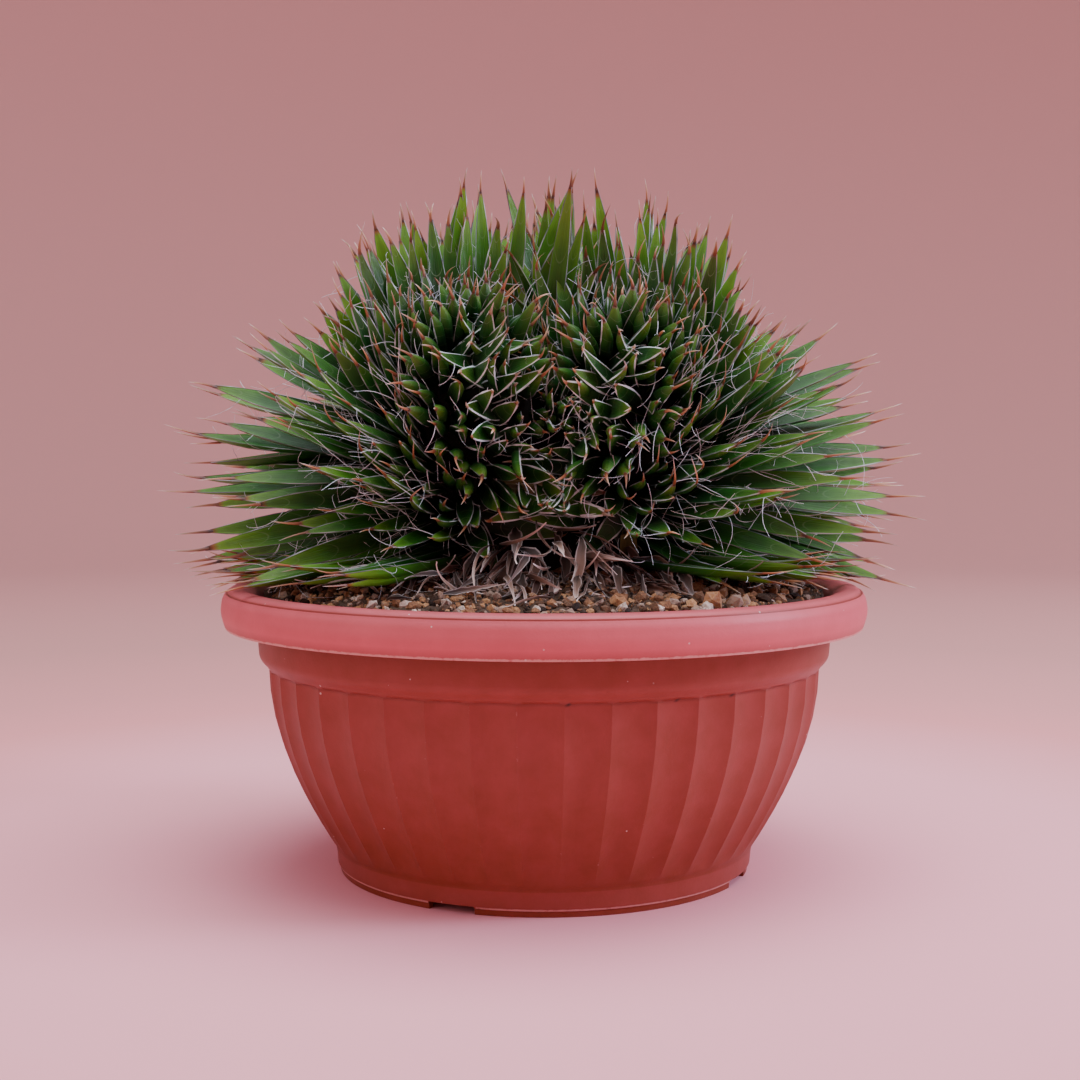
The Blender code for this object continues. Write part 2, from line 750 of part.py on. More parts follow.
def build_dried(finish, head):
    """The dried leaves, fused to a band that follows the stem and stays clear of the head."""
    rings = []
    for k in range(BAND_STEPS + 1):
        angle = BAND_SPREAD * (2.0 * k / BAND_STEPS - 1.0)
        near = band_radius(angle)
        top = fringe_top(angle) - 0.002
        low = SOIL_STEM + GRIT_HEIGHT + GAP
        corners = ((near, low), (near + BAND_DEPTH, low), (near + 0.3 * BAND_DEPTH, top), (near, top))
        rings.append([around(angle, radius, height) for radius, height in corners])
    bm = bmesh.new()
    lathe(bm, rings)
    band = mesh_object("dried_leaves", bm, finish)
    bpy.context.view_layer.update()
    green = BVHTree.FromObject(head, bpy.context.evaluated_depsgraph_get())
    rng = random.Random(DRIED_SEED)
    pieces = []
    roots = []
    for i in range(DRIED_TRIES):
        leaf = dried_leaf(rng)
        if any((leaf["root"] - other).length < DRIED_SPACING for other in roots):
            continue
        if not is_clear(leaf, GAP, False):
            continue
        bm = leaf_mesh(leaf, SHORT_STATIONS)
        grown = swollen(bm, 2.0 * GAP)
        if green.overlap(BVHTree.FromBMesh(grown)):
            bm.free()
        else:
            roots.append(leaf["root"])
            pieces.append(mesh_object(f"dried_{i}", bm, finish))
        grown.free()
        if len(pieces) == DRIED_KEPT:
            break
    fuse(band, pieces, "MANIFOLD")
    keep_largest(band)
    return band


clear_scene()
build_pot(material("pot_plastic", (0.30, 0.045, 0.03), 0.45))
build_soil(material("soil", (0.22, 0.12, 0.06), 0.95))
crest = build_head(material("leaf", (0.03, 0.12, 0.02), 0.4))
build_dried(material("dried_leaf", (0.35, 0.24, 0.16), 0.85), crest)
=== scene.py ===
"""Looks of the potted crested agave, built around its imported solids.

The plant grows by the same rule as in the solids: leaves root on a low dome, and their length and lean
follow how far they are from the crest's growing line. Metres, +Z up, the front is -Y.
"""

import logging
import math
import random
from dataclasses import dataclass, field
from enum import Enum
from typing import NamedTuple

import bmesh
import bpy
from mathutils import Matrix, Vector, noise

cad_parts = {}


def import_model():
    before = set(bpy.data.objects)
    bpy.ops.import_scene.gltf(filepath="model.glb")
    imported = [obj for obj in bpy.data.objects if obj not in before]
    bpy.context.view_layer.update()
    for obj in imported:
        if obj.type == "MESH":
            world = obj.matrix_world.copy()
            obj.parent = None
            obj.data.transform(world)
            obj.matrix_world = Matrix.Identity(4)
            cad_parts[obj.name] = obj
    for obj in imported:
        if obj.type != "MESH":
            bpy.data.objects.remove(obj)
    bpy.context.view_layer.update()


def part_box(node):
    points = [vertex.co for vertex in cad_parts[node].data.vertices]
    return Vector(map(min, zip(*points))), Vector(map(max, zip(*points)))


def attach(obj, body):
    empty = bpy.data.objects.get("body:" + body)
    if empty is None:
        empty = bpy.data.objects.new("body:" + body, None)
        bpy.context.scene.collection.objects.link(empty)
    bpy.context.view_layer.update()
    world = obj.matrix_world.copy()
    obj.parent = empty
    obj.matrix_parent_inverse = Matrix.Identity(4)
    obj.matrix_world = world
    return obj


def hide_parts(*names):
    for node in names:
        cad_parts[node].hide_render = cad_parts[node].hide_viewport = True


log = logging.getLogger("agave")

Span = tuple[float, float]
Triple = tuple[float, float, float]
Stops = tuple[tuple[float, str], ...]
Ring = list[Vector]
UP = Vector((0.0, 0.0, 1.0))
FULL_TURN = 2.0 * math.pi


class Node(Enum):
    """The solids that the pieces stand for."""

    POT = "pot"
    SOIL = "soil"
    CREST = "crested_agave"
    DRIED = "dried_leaves"


class Slot(Enum):
    """The record's material slots."""

    POT = "pot_plastic"
    SOIL = "soil"
    LEAF = "leaf"
    DRIED = "dried_leaf"


def linear(code: str) -> tuple[float, float, float, float]:
    """Turn an sRGB hex colour into linear RGBA.

    Args:
        code: a # and six hex digits.

    Returns:
        The colour as linear red, green, blue and alpha.
    """
    shares = [int(code[i:i + 2], 16) / 255.0 for i in (1, 3, 5)]
    red, green, blue = [s / 12.92 if s <= 0.04045 else ((s + 0.055) / 1.055) ** 2.4 for s in shares]
    return (red, green, blue, 1.0)


class Recipe:
    """A material's node tree, fed by the values that its mesh stores in "place".

    On leaves and strands those are how far along a point is, how far across, and the tone of the whole.
    """

    def __init__(self, name: str) -> None:
        """Start the tree.

        Args:
            name: the material's name.
        """
        self.material = bpy.data.materials.new(name)
        self.material.use_nodes = True
        self.tree = self.material.node_tree
        stored = self.add("Attribute", out="Vector", attribute_name="place")
        self.along, self.across, self.tone = self.add("SeparateXYZ", {0: stored}).node.outputs

    def add(
        self, kind: str, inputs: dict | None = None, out: int | str = 0, stops: Stops = (), **settings: str
    ) -> bpy.types.NodeSocket:
        """Add a node with its settings and links.

        Args:
            kind: the node's type, without the word ShaderNode.
            inputs: values for its sockets, or sockets that feed them, by name or number.
            out: the output that is wanted, by name or number.
            stops: a colour ramp's places and hex colours.
            settings: the node's own properties.

        Returns:
            The output.
        """
        node = self.tree.nodes.new("ShaderNode" + kind)
        for name, value in settings.items():
            setattr(node, name, value)
        for key, value in (inputs or {}).items():
            if isinstance(value, bpy.types.NodeSocket):
                self.tree.links.new(value, node.inputs[key])
            else:
                node.inputs[key].default_value = value
        if stops:
            ramp = node.color_ramp.elements
            while len(ramp) < len(stops):
                ramp.new(0.5)
            for element, (place, code) in zip(ramp, stops):
                element.position = place
                element.color = linear(code)
        return node.outputs[out]

    def finish(
        self, colour: bpy.types.NodeSocket, roughness: float, ior: float = 1.5, specular: float = 0.5,
        bump: tuple[bpy.types.NodeSocket, float, float] | None = None,
    ) -> bpy.types.Material:
        """Link the shader's colour and bump and set its constant values.

        Args:
            colour: the surface's colour.
            roughness: the shader's roughness.
            ior: its index of refraction.
            specular: its specular level.
            bump: the height that dents the surface, with the bump's strength and its depth in metres.

        Returns:
            The finished material.
        """
        shader = self.tree.nodes["Principled BSDF"]
        self.tree.links.new(colour, shader.inputs["Base Color"])
        if bump:
            normal = self.add("Bump", {"Height": bump[0], "Strength": bump[1], "Distance": bump[2]})
            self.tree.links.new(normal, shader.inputs["Normal"])
        shader.inputs["Roughness"].default_value = roughness
        shader.inputs["IOR"].default_value = ior
        shader.inputs["Specular IOR Level"].default_value = specular
        return self.material


def show(name: str, data: bpy.types.ID) -> bpy.types.Object:
    """Put a mesh, light or camera into the scene.

    Args:
        name: the new object's name.
        data: what it shows.

    Returns:
        The new object.
    """
    made = bpy.data.objects.new(name, data)
    bpy.context.scene.collection.objects.link(made)
    return made


def settle(piece: bpy.types.Object, node: Node, slot: Slot) -> None:
    """Put a piece on the root body, in place of a solid, and log it.

    Args:
        piece: the piece.
        node: the solid that it stands for, alone or with other pieces.
        slot: the record's slot; not used.
    """
    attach(piece, "root")
    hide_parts(node.value)
    log.info("%s: %d faces", piece.name, len(piece.data.polygons))


@dataclass
class Batch:
    """Points, faces and place values of one piece, gathered before its mesh is made."""

    points: Ring = field(default_factory=list)
    faces: list[tuple[int, ...]] = field(default_factory=list)
    place: list[Triple] = field(default_factory=list)

    def add_tube(
        self, rings: list[Ring], places: list[Triple], tip: Vector | None = None, caps: int = 0
    ) -> None:
        """Skin rings of points that all have the same count.

        Args:
            rings: the rings, in order.
            places: one place value for each ring, or one for each point, or none.
            tip: a last point that closes the tube, if it ends in one.
            caps: how many ends are closed with a face: none, the first one, or both.
        """
        start = len(self.points)
        count = len(rings[0])
        for ring in rings:
            self.points.extend(ring)
        if len(places) == len(rings):
            self.place.extend(place for place in places for _ in range(count))
        else:
            self.place.extend(places[:count * len(rings)])
        following = [(i + 1) % count for i in range(count)]
        for low in range(start, start + (len(rings) - 1) * count, count):
            high = low + count
            self.faces.extend((low + i, low + j, high + j, high + i) for i, j in enumerate(following))
        last = start + (len(rings) - 1) * count
        if caps > 0:
            self.faces.append(tuple(start + i for i in reversed(range(count))))
        if caps > 1:
            self.faces.append(tuple(last + i for i in range(count)))
        if tip is not None:
            top = len(self.points)
            self.points.append(tip)
            self.place.append(places[-1])
            self.faces.extend((last + i, last + j, top) for i, j in enumerate(following))

    def mesh(self, name: str, finish: bpy.types.Material | None, turned: bool = False) -> bpy.types.Mesh:
        """Make the gathered mesh.

        Args:
            name: the mesh's name.
            finish: its material, if it needs one.
            turned: whether its faces are turned outwards, which a closed form needs before it is cut.

        Returns:
            The mesh.
        """
        mesh = bpy.data.meshes.new(name)
        mesh.from_pydata(self.points, [], self.faces)
        if turned:
            bm = bmesh.new()
            bm.from_mesh(mesh)
            bmesh.ops.recalc_face_normals(bm, faces=bm.faces)
            bm.to_mesh(mesh)
            bm.free()
        if self.place:
            store = mesh.attributes.new("place", "FLOAT_VECTOR", "POINT")
            store.data.foreach_set("vector", [value for triple in self.place for value in triple])
        if finish:
            mesh.materials.append(finish)
        return mesh

    def piece(
        self, name: str, finish: bpy.types.Material, node: Node, slot: Slot, sharp: float | None
    ) -> None:
        """Make the gathered mesh into a piece that rides on the root body.

        Args:
            name: the piece's name.
            finish: its material.
            node: the solid that it stands for.
            slot: the record's slot, passed on to settle.
            sharp: edges over this angle in degrees stay sharp, or None for flat faces.
        """
        mesh = self.mesh(name, finish)
        if sharp is not None:
            mesh.shade_smooth()
            mesh.set_sharp_from_angle(angle=math.radians(sharp))
        settle(show(name, mesh), node, slot)


def around(angle: float, radius: float, height: float) -> Vector:
    """A point at an angle from the front (-Y), turning towards +X."""
    return Vector((radius * math.sin(angle), -radius * math.cos(angle), height))


def circle(radius: float, height: float, count: int) -> Ring:
    """Points set evenly on a level circle round the pot's axis."""
    return [around(FULL_TURN * k / count, radius, height) for k in range(count)]


def clamp(value: float, low: float = 0.0, high: float = 1.0) -> float:
    """A value held between two limits."""
    return min(max(value, low), high)


def ease(value: float) -> float:
    """A smooth step from 0 to 1."""
    value = clamp(value)
    return value * value * (3.0 - 2.0 * value)


def square_to(vector: Vector, direction: Vector) -> Vector:
    """The part of a vector that is square to a direction, as a unit vector."""
    flat = vector - vector.dot(direction) * direction
    return flat.normalized() if flat.length > 1e-6 else direction.orthogonal().normalized()


def scatter(rng: random.Random, spread: float) -> Vector:
    """A small random offset."""
    return Vector([rng.gauss(0.0, spread) for _ in range(3)])


def random_direction(rng: random.Random) -> Vector:
    """Draw a direction evenly from all round.

    Args:
        rng: the random draws.

    Returns:
        A unit vector.
    """
    height = rng.uniform(-1.0, 1.0)
    angle = rng.uniform(0.0, FULL_TURN)
    flat = math.sqrt(1.0 - height * height)
    return Vector((flat * math.sin(angle), flat * math.cos(angle), height))


# Finishes. Scales come from real sizes in millimetres: a texture's scale is 1000 over the size.


@dataclass(frozen=True)
class MouldedPolypropylene:
    """Polypropylene, injection moulded in terracotta colour.

    The eye sees a satin skin, deep red on the body, pale scuffs along its edges, scattered specks of dust,
    and dirt at a few spots under the band. Painted light and shade lie over it: a pinker sheen towards
    the rim, pale highlight lines where the scuffs run along sharp edges, and shade in the line under the
    band. Its mesh stores the wear with those highlights, the painted sheen, and the dirt with that shade.
    """

    body: str = "#7f3a21"
    # Painted sheen: the skin runs pinker towards the rim and its top, where the light from above catches it
    mottle_and_sheen: str = "#d46872"
    # Pale scuffs, and painted highlight lines where the wear runs unbroken along the rim's lip, the foot's
    # ledge and the arrises
    scuff_and_highlight: str = "#d8a59c"
    dust: str = "#d9cbc4"
    # Dirt at a few spots under the band, and painted shade in the line all round under it
    dirt_and_shade: str = "#2a1a16"
    roughness: float = 0.46
    specular: float = 0.32
    ior: float = 1.49
    mottle_mm: float = 9.0
    mottle: float = 0.22
    fleck_mm: float = 2.4
    scuff_and_highlight_from: Span = (1.30, 1.75)
    speck_mm: float = 6.0
    speck_share: float = 0.07
    patch_mm: float = 18.0
    dusty_from: Span = (0.39, 0.60)
    # The mould's real grain is about 0.1 mm: it is drawn coarser, so that it shows.
    grain_mm: float = 0.8
    grain_depth: float = 0.0002

    def build(self, name: str) -> bpy.types.Material:
        """Make the material.

        Args:
            name: the material's name.

        Returns:
            The material.
        """
        recipe = Recipe(name)
        add = recipe.add
        worn_and_lit, painted_sheen, soiled_and_shaded = recipe.along, recipe.across, recipe.tone
        place = add("TexCoord", out="Object")
        mottle = add(
            "TexNoise", {"Vector": place, "Scale": 1000.0 / self.mottle_mm, "Detail": 4.0, "Roughness": 0.6}
        )
        # Painted sheen, pinker towards the rim, with the random mottle
        mottle_and_sheen = add("Math", {0: mottle, 1: self.mottle, 2: painted_sheen}, operation="MULTIPLY_ADD")
        tone = add("ValToRGB", {"Fac": mottle_and_sheen}, stops=((0.08, self.body), (1.0, self.mottle_and_sheen)))
        fleck = add(
            "TexNoise", {"Vector": place, "Scale": 1000.0 / self.fleck_mm, "Detail": 3.0, "Roughness": 0.7}
        )
        # Scuffs where the noise is high, and near-unbroken painted highlight lines where the stored wear is
        # high
        rubbed_and_lit = add("Math", {0: fleck, 1: 1.6, 2: worn_and_lit}, operation="MULTIPLY_ADD")
        low, high = self.scuff_and_highlight_from
        scuff_and_highlight_share = add("MapRange", {"Value": rubbed_and_lit, "From Min": low, "From Max": high, "To Max": 0.75})
        tone = add("Mix", {"Factor": scuff_and_highlight_share, 6: tone, 7: linear(self.scuff_and_highlight)}, 2, data_type="RGBA")
        near = add("TexVoronoi", {"Vector": place, "Scale": 1000.0 / self.speck_mm, "Randomness": 1.0})
        drawn = add("SeparateColor", {0: near.node.outputs["Color"]})
        size = add("Math", {0: drawn, 1: self.speck_share}, operation="MULTIPLY")
        speck = add("Math", {0: near, 1: size}, operation="LESS_THAN")
        patch = add("TexNoise", {"Vector": place, "Scale": 1000.0 / self.patch_mm, "Detail": 2.0})
        low, high = self.dusty_from
        some = add("MapRange", {"Value": patch, "From Min": low, "From Max": high, "To Max": 0.85})
        dusty = add("Math", {0: speck, 1: some}, operation="MULTIPLY")
        tone = add("Mix", {"Factor": dusty, 6: tone, 7: linear(self.dust)}, 2, data_type="RGBA")
        # Dirt spots and painted shade under the band
        tone = add("Mix", {"Factor": soiled_and_shaded, 6: tone, 7: linear(self.dirt_and_shade)}, 2, data_type="RGBA")
        grain = add("TexNoise", {"Vector": place, "Scale": 1000.0 / self.grain_mm, "Detail": 2.0})
        return recipe.finish(tone, self.roughness, self.ior, self.specular, (grain, 0.30, self.grain_depth))


@dataclass(frozen=True)
class AgaveLeafSkin:
    """Living agave leaf: a waxy skin that grew in a tight bud.

    The eye sees a satin green, fresher above and yellow-green near the tip, with a burnt end and faint bows
    where neighbouring leaves pressed into it. It is drawn nearly black at the root, painted shade between the
    leaf bases, and paler at its edges and darker along its middle, painted light and shade across the blade.
    """

    # root and deep: painted shade, darkest at the leaf's base where its neighbours shade it
    root: str = "#0f1b0d"
    deep: str = "#1a4213"
    fresh: str = "#346e18"
    tip: str = "#64952b"
    burnt: str = "#85562f"
    char: str = "#4a2618"
    print_mark: str = "#7f9a70"
    prints: float = 0.25
    roughness: float = 0.31
    specular: float = 0.30
    ior: float = 1.45
    cloud_mm: float = 6.0
    # Painted light and shade across the blade: lighter towards its edges, darker along its middle
    painted_edge_light: float = 0.7
    value: Span = (0.40, 1.60)
    hue: Span = (0.518, 0.492)
    print_bow: float = -0.10
    # Shares of the leaf's own length and width. The real veins are finer: these are drawn to show.
    vein_rows: tuple[float, float, float] = (5.0, 9.0, 80.0)
    vein_depth: float = 0.0006
    print_step: float = 0.13
    print_width: float = 0.008

    def build(self, name: str) -> bpy.types.Material:
        """Make the material.

        Args:
            name: the material's name.

        Returns:
            The material.
        """
        recipe = Recipe(name)
        add = recipe.add
        along, across, tone = recipe.along, recipe.across, recipe.tone
        # The dark root and deep stops are painted shade at the leaf's base
        stops = (
            (0.0, self.root), (0.30, self.deep), (0.66, self.fresh), (0.945, self.tip),
            (0.978, self.burnt), (1.0, self.char),
        )
        colour = add("ValToRGB", {"Fac": along}, stops=stops)
        place = add("TexCoord", out="Object")
        cloud = add("TexNoise", {"Vector": place, "Scale": 1000.0 / self.cloud_mm, "Detail": 3.0})
        rows = [
            add("Math", {0: part, 1: count}, operation="MULTIPLY")
            for part, count in zip((along, across, tone), self.vein_rows)
        ]
        lengthwise = add("CombineXYZ", dict(enumerate(rows)))
        veins = add("TexNoise", {"Vector": lengthwise, "Scale": 1.0, "Detail": 3.0})
        patchy = add("Math", {0: cloud, 1: veins}, operation="ADD")
        # Painted light and shade: lighter towards the edges, darker along the middle
        square = add("Math", {0: across, 1: across}, operation="MULTIPLY")
        painted_edge_shading = add("Math", {0: square, 1: self.painted_edge_light, 2: tone}, operation="MULTIPLY_ADD")
        shade = add("Math", {0: patchy, 1: 0.8, 2: painted_edge_shading}, operation="MULTIPLY_ADD")
        low, high = self.value
        value = add(
            "MapRange", {"Value": shade, "From Min": 0.75, "From Max": 2.4, "To Min": low, "To Max": high}
        )
        hue = add("MapRange", {"Value": tone, "To Min": self.hue[0], "To Max": self.hue[1]})
        varied = add("HueSaturation", {"Color": colour, "Value": value, "Hue": hue})
        bow = add("Math", {0: square, 1: self.print_bow, 2: along}, operation="MULTIPLY_ADD")
        shifted = add("Math", {0: tone, 1: 7.3, 2: bow}, operation="MULTIPLY_ADD")
        wave = add("Math", {0: shifted, 1: self.print_step}, operation="PINGPONG")
        line = add(
            "MapRange", {"Value": wave, "From Min": self.print_width, "From Max": 0.0, "To Max": self.prints}
        )
        marked = add("Mix", {"Factor": line, 6: varied, 7: linear(self.print_mark)}, 2, data_type="RGBA")
        return recipe.finish(marked, self.roughness, self.ior, self.specular, (veins, 0.35, self.vein_depth))


@dataclass(frozen=True)
class DeadTissue:
    """Dead leaf tissue: horn of the margins and spines, peeled fibres, and leaves dried to paper.

    It is dull and fibrous. The eye sees one colour run into the next from root to tip, and each strand
    lighter or darker than its neighbour. Dried leaves have pale, frayed edges.
    """

    stops: Stops
    roughness: float = 0.5
    spread: float = 0.35
    edge: str = ""
    edge_from: float = 0.7
    edge_share: float = 0.55

    def build(self, name: str) -> bpy.types.Material:
        """Make the material.

        Args:
            name: the material's name.

        Returns:
            The material.
        """
        recipe = Recipe(name)
        add = recipe.add
        colour = add("ValToRGB", {"Fac": recipe.along}, stops=self.stops)
        lightest, darkest = 1.0 + self.spread, 1.0 - self.spread
        value = add("MapRange", {"Value": recipe.tone, "To Min": darkest, "To Max": lightest})
        result = add("HueSaturation", {"Color": colour, "Value": value})
        if self.edge:
            rim = add("Math", {0: recipe.across}, operation="ABSOLUTE")
            reach = {"Value": rim, "From Min": self.edge_from, "From Max": 1.0, "To Max": self.edge_share}
            share = add("MapRange", reach)
            result = add("Mix", {"Factor": share, 6: result, 7: linear(self.edge)}, 2, data_type="RGBA")
        return recipe.finish(result, self.roughness)


@dataclass(frozen=True)
class LooseGrit:
    """Crushed pumice, burnt clay and gravel, dry and dusty.

    The eye sees dull, pitted grains in tans, oranges and browns, each in its own tone.
    """

    tones: Stops = (
        (0.0, "#231811"), (0.20, "#42301f"), (0.38, "#6c4c34"), (0.50, "#8e6441"),
        (0.62, "#ad8357"), (0.74, "#9b8776"), (0.86, "#7a6252"), (1.0, "#d3c4b2"),
    )
    roughness: float = 0.92
    pit_mm: float = 0.8
    pit_depth: float = 0.0005
    mottle: float = 0.5

    def build(self, name: str) -> bpy.types.Material:
        """Make the material.

        Args:
            name: the material's name.

        Returns:
            The material.
        """
        recipe = Recipe(name)
        add = recipe.add
        place = add("TexCoord", out="Object")
        pits = add(
            "TexNoise", {"Vector": place, "Scale": 1000.0 / self.pit_mm, "Detail": 3.0, "Roughness": 0.65}
        )
        mixed = add("Math", {0: pits, 1: self.mottle, 2: recipe.tone}, operation="MULTIPLY_ADD")
        shifted = add("Math", {0: mixed, 1: 0.5 * self.mottle}, operation="SUBTRACT")
        colour = add("ValToRGB", {"Fac": shifted}, stops=self.tones)
        return recipe.finish(colour, self.roughness, bump=(pits, 0.6, self.pit_depth))


# The crest's growth, by the same rule and the same draws as in the solids


@dataclass
class Leaf:
    """One leaf: where it roots, which way it grows, how big it is and how it has aged."""

    root: Vector
    direction: Vector
    face: Vector
    length: float
    width: float
    bend: float
    young: bool = False
    inner: bool = False
    tone: float = 0.5
    dry: float = 0.0
    hook: float = 0.0

    def middle(self, along: float) -> Vector:
        """A point of the leaf's middle.

        Args:
            along: 0 at its root and 1 at its tip.

        Returns:
            The point.
        """
        straight = self.root + self.direction * (along * self.length)
        curl = self.bend * max(along, 0.0) ** 2 + self.hook * max(along, 0.0) ** 4
        return straight + self.face * (curl * self.length)

    def side(self) -> Vector:
        """The way across the leaf."""
        return self.direction.cross(self.face)

    def lean(self, push: Vector) -> None:
        """Push the leaf's direction over and keep its face square to it."""
        self.direction = (self.direction + push).normalized()
        self.face = square_to(self.face, self.direction)


@dataclass
class PotShape:
    """The bowl's driving sizes, the same as in its solid."""

    height: float = 0.1106
    rim_radius: float = 0.125
    foot_radius: float = 0.0803
    foot_width: float = 0.0035
    foot_height: float = 0.0106
    radius_low: float = 0.082
    radius_high: float = 0.1068
    flute_top: float = 0.079
    curve: float = 0.95
    wall: float = 0.003
    floor_underside: float = 0.004
    floor_top: float = 0.0065
    flutes: int = 42
    first_arris: float = math.radians(3.53)
    rim_ledge: float = 0.0158

    def body_radius(self, height: float) -> float:
        """The bowl's outer radius on its arrises.

        Args:
            height: a height between the foot and the top of the flutes.

        Returns:
            The radius.
        """
        part = clamp((height - self.foot_height) / (self.flute_top - self.foot_height))
        swell = math.sin(0.5 * math.pi * part ** self.curve)
        return self.radius_low + (self.radius_high - self.radius_low) * swell

    def mouth(self) -> float:
        """The radius of the opening inside the rim's ledge."""
        return self.rim_radius - self.rim_ledge


@dataclass
class SoilShape:
    """The soil's slope and the stem's oval, the same as in their solids."""

    pot: PotShape
    edge: float = 0.1075
    at_stem: float = 0.1172
    grit: float = 0.0011
    stem_radii: Span = (0.0505, 0.0425)

    def stem_radius(self, angle: float) -> float:
        """Radius of the stem's oval at an angle from the front."""
        across, along = self.stem_radii
        return 1.0 / math.hypot(math.sin(angle) / across, math.cos(angle) / along)

    def level(self, x: float, y: float) -> float:
        """Level of the soil without its grit: highest at the stem and falling to the pot's wall.

        Args:
            x: how far to the right.
            y: how far back.

        Returns:
            The height.
        """
        inner = self.stem_radius(math.atan2(x, -y))
        part = clamp((math.hypot(x, y) - inner) / (self.pot.mouth() - inner))
        return self.edge + (self.at_stem - self.edge) * (1.0 - part)


@dataclass
class CrestGrowth:
    """How the crest grows: its core, its growing line and the rule for its leaves."""

    soil: SoilShape
    # The core: a soft union of three lumps, each with its centre and its half axes
    centre: Vector = field(default_factory=lambda: Vector((0.0, -0.008, 0.156)))
    lumps: tuple[tuple[Triple, Triple], ...] = (
        ((0.0, 0.002, 0.145), (0.056, 0.046, 0.046)),
        ((-0.030, -0.016, 0.168), (0.034, 0.041, 0.043)),
        ((0.030, -0.016, 0.168), (0.034, 0.041, 0.041)),
    )
    lump_blend: int = 14
    slope_step: float = 0.0005
    # The growing line, up one side of the front, over both lobes and down the other side
    line_points: tuple[Triple, ...] = (
        (-0.037, -0.066, 0.150), (-0.049, -0.058, 0.178), (-0.049, -0.042, 0.202),
        (-0.040, -0.028, 0.222), (-0.022, -0.025, 0.224), (-0.006, -0.038, 0.206),
        (0.002, -0.056, 0.185), (0.012, -0.044, 0.201), (0.027, -0.030, 0.219),
        (0.042, -0.026, 0.218), (0.048, -0.040, 0.199), (0.047, -0.054, 0.176),
        (0.039, -0.066, 0.153),
    )
    line_steps: int = 8
    front_limit: float = -0.012
    # The leaves of the solid
    seed: int = 5
    longest: float = 0.098
    shortest: float = 0.016
    inner_longest: float = 0.034
    growth_outer: float = 0.047
    growth_inner: float = 0.028
    young_age: float = 0.35
    inner_age: float = 0.4
    outer_width: Span = (0.0042, 0.075)
    inner_width: Span = (0.0040, 0.155)
    length_spread: Span = (0.86, 1.10)
    bend_spread: Span = (-0.03, 0.09)
    direction_spread: float = 0.10
    face_spread: float = 0.18
    inner_splay: float = 0.9
    outer_splay: float = 0.35
    crown_start: float = 0.168
    crown_rise: float = 0.030
    crown_lift: float = 1.1
    side_lift: float = 0.10
    front_lift: float = 0.45
    front_depth: float = 0.045
    flat_face: float = 0.6
    root_tries: int = 9000
    spacing: Span = (0.0060, 0.0109)
    roots_lowest: float = 0.128
    # The lowest row, round the stem and over the rim
    row_height: float = 0.1228
    row_step: float = math.radians(8.0)
    row_turn: float = math.radians(24.0)
    row_length: Span = (0.064, 0.086)
    row_width: float = 0.0102
    row_fall: float = -0.10
    row_bend: Span = (0.05, 0.11)
    # What the leaves keep within and stay clear of
    reach_centre: Vector = field(default_factory=lambda: Vector((-0.0015, 0.002, 0.125)))
    reach: Vector = field(default_factory=lambda: Vector((0.1515, 0.1265, 0.1535)))
    shoulder_angle: float = math.radians(47.0)
    shoulder_width: float = math.radians(10.0)
    shoulder_depth: float = 0.17
    clearance: float = 0.0012
    raise_step: float = 0.03
    shorten: float = 0.985
    fit_rounds: int = 40
    tip_room: float = 0.0018
    fringe_low: float = 0.1255
    fringe_rise: float = 0.0130
    fringe_half: float = math.radians(20.0)
    fringe_spread: float = math.radians(31.0)
    fringe_side: float = 0.07
    fringe_reach: float = 0.088
    fringe_room: float = 0.006
    # The smaller leaves that fill in between them
    fill_seed: int = 77
    fill_tries: int = 14000
    fill_spacing: Span = (0.0039, 0.0054)
    fill_inner: float = 0.0043
    fill_splay: float = 0.6
    fill_inner_length: float = 0.85
    fill_longer: Span = (1.0, 1.35)
    fill_shorter: Span = (0.66, 1.0)
    fill_rows: tuple[tuple[float, float, int], ...] = ((-33.0, -128.0, 21), (46.0, 128.0, 12))
    fill_bend: Span = (0.0, 0.05)
    fill_fall: float = -0.15
    fill_turn: float = 0.22
    crown_count: int = 25
    crown_length: Span = (0.048, 0.084)
    crown_width: float = 0.9
    crown_spread: float = 0.18
    # The newest leaves: a tight whorl where the growing line dips, each turned on by the golden angle
    whorl: Vector = field(default_factory=lambda: Vector((-0.001, -0.056, 0.184)))
    whorl_count: int = 17
    whorl_turn: float = 2.4
    whorl_room: float = 0.0125
    whorl_yield: Span = (0.55, 0.8)
    whorl_out: float = 0.009
    whorl_rise: float = 0.009
    whorl_radius: Span = (0.0012, 0.0050)
    whorl_splay: Span = (0.25, 0.95)
    whorl_length: Span = (0.009, 0.009)
    whorl_width: Span = (0.0040, 0.0022)
    whorl_bend: Span = (-0.05, 0.02)
    # How the leaves are dressed: slimmer than in the solid, some dry, a few dead, upright old leaves painted
    # lighter and old ones on the right flank painted darker
    slim_old: float = 0.72
    slim_inner: float = 0.82
    slim_young: float = 0.98
    upright: float = 0.6
    right_side: float = 0.015
    right_painted_shade: float = 0.60
    dry_share: float = 0.22
    dead_share: float = 0.004
    dead: float = 4.0
    dead_near: tuple[Span, ...] = ((-0.0125, 0.150), (0.030, 0.132))
    dead_out: float = 0.007
    dead_longer: float = 1.2

    def core_radius(self, direction: Vector) -> float:
        """Distance from the centre to the core's surface.

        Args:
            direction: a unit vector.

        Returns:
            The distance.
        """
        total = 0.0
        limit = self.soil.pot.rim_radius
        for centre, axes in self.lumps:
            start = [(self.centre[i] - centre[i]) / axes[i] for i in range(3)]
            ray = [direction[i] / axes[i] for i in range(3)]
            a = sum(r * r for r in ray)
            b = sum(r * s for r, s in zip(ray, start))
            c = sum(s * s for s in start) - 1.0
            reach = (math.sqrt(b * b - a * c) - b) / a
            total += (reach / limit) ** self.lump_blend
        return limit * total ** (1.0 / self.lump_blend)

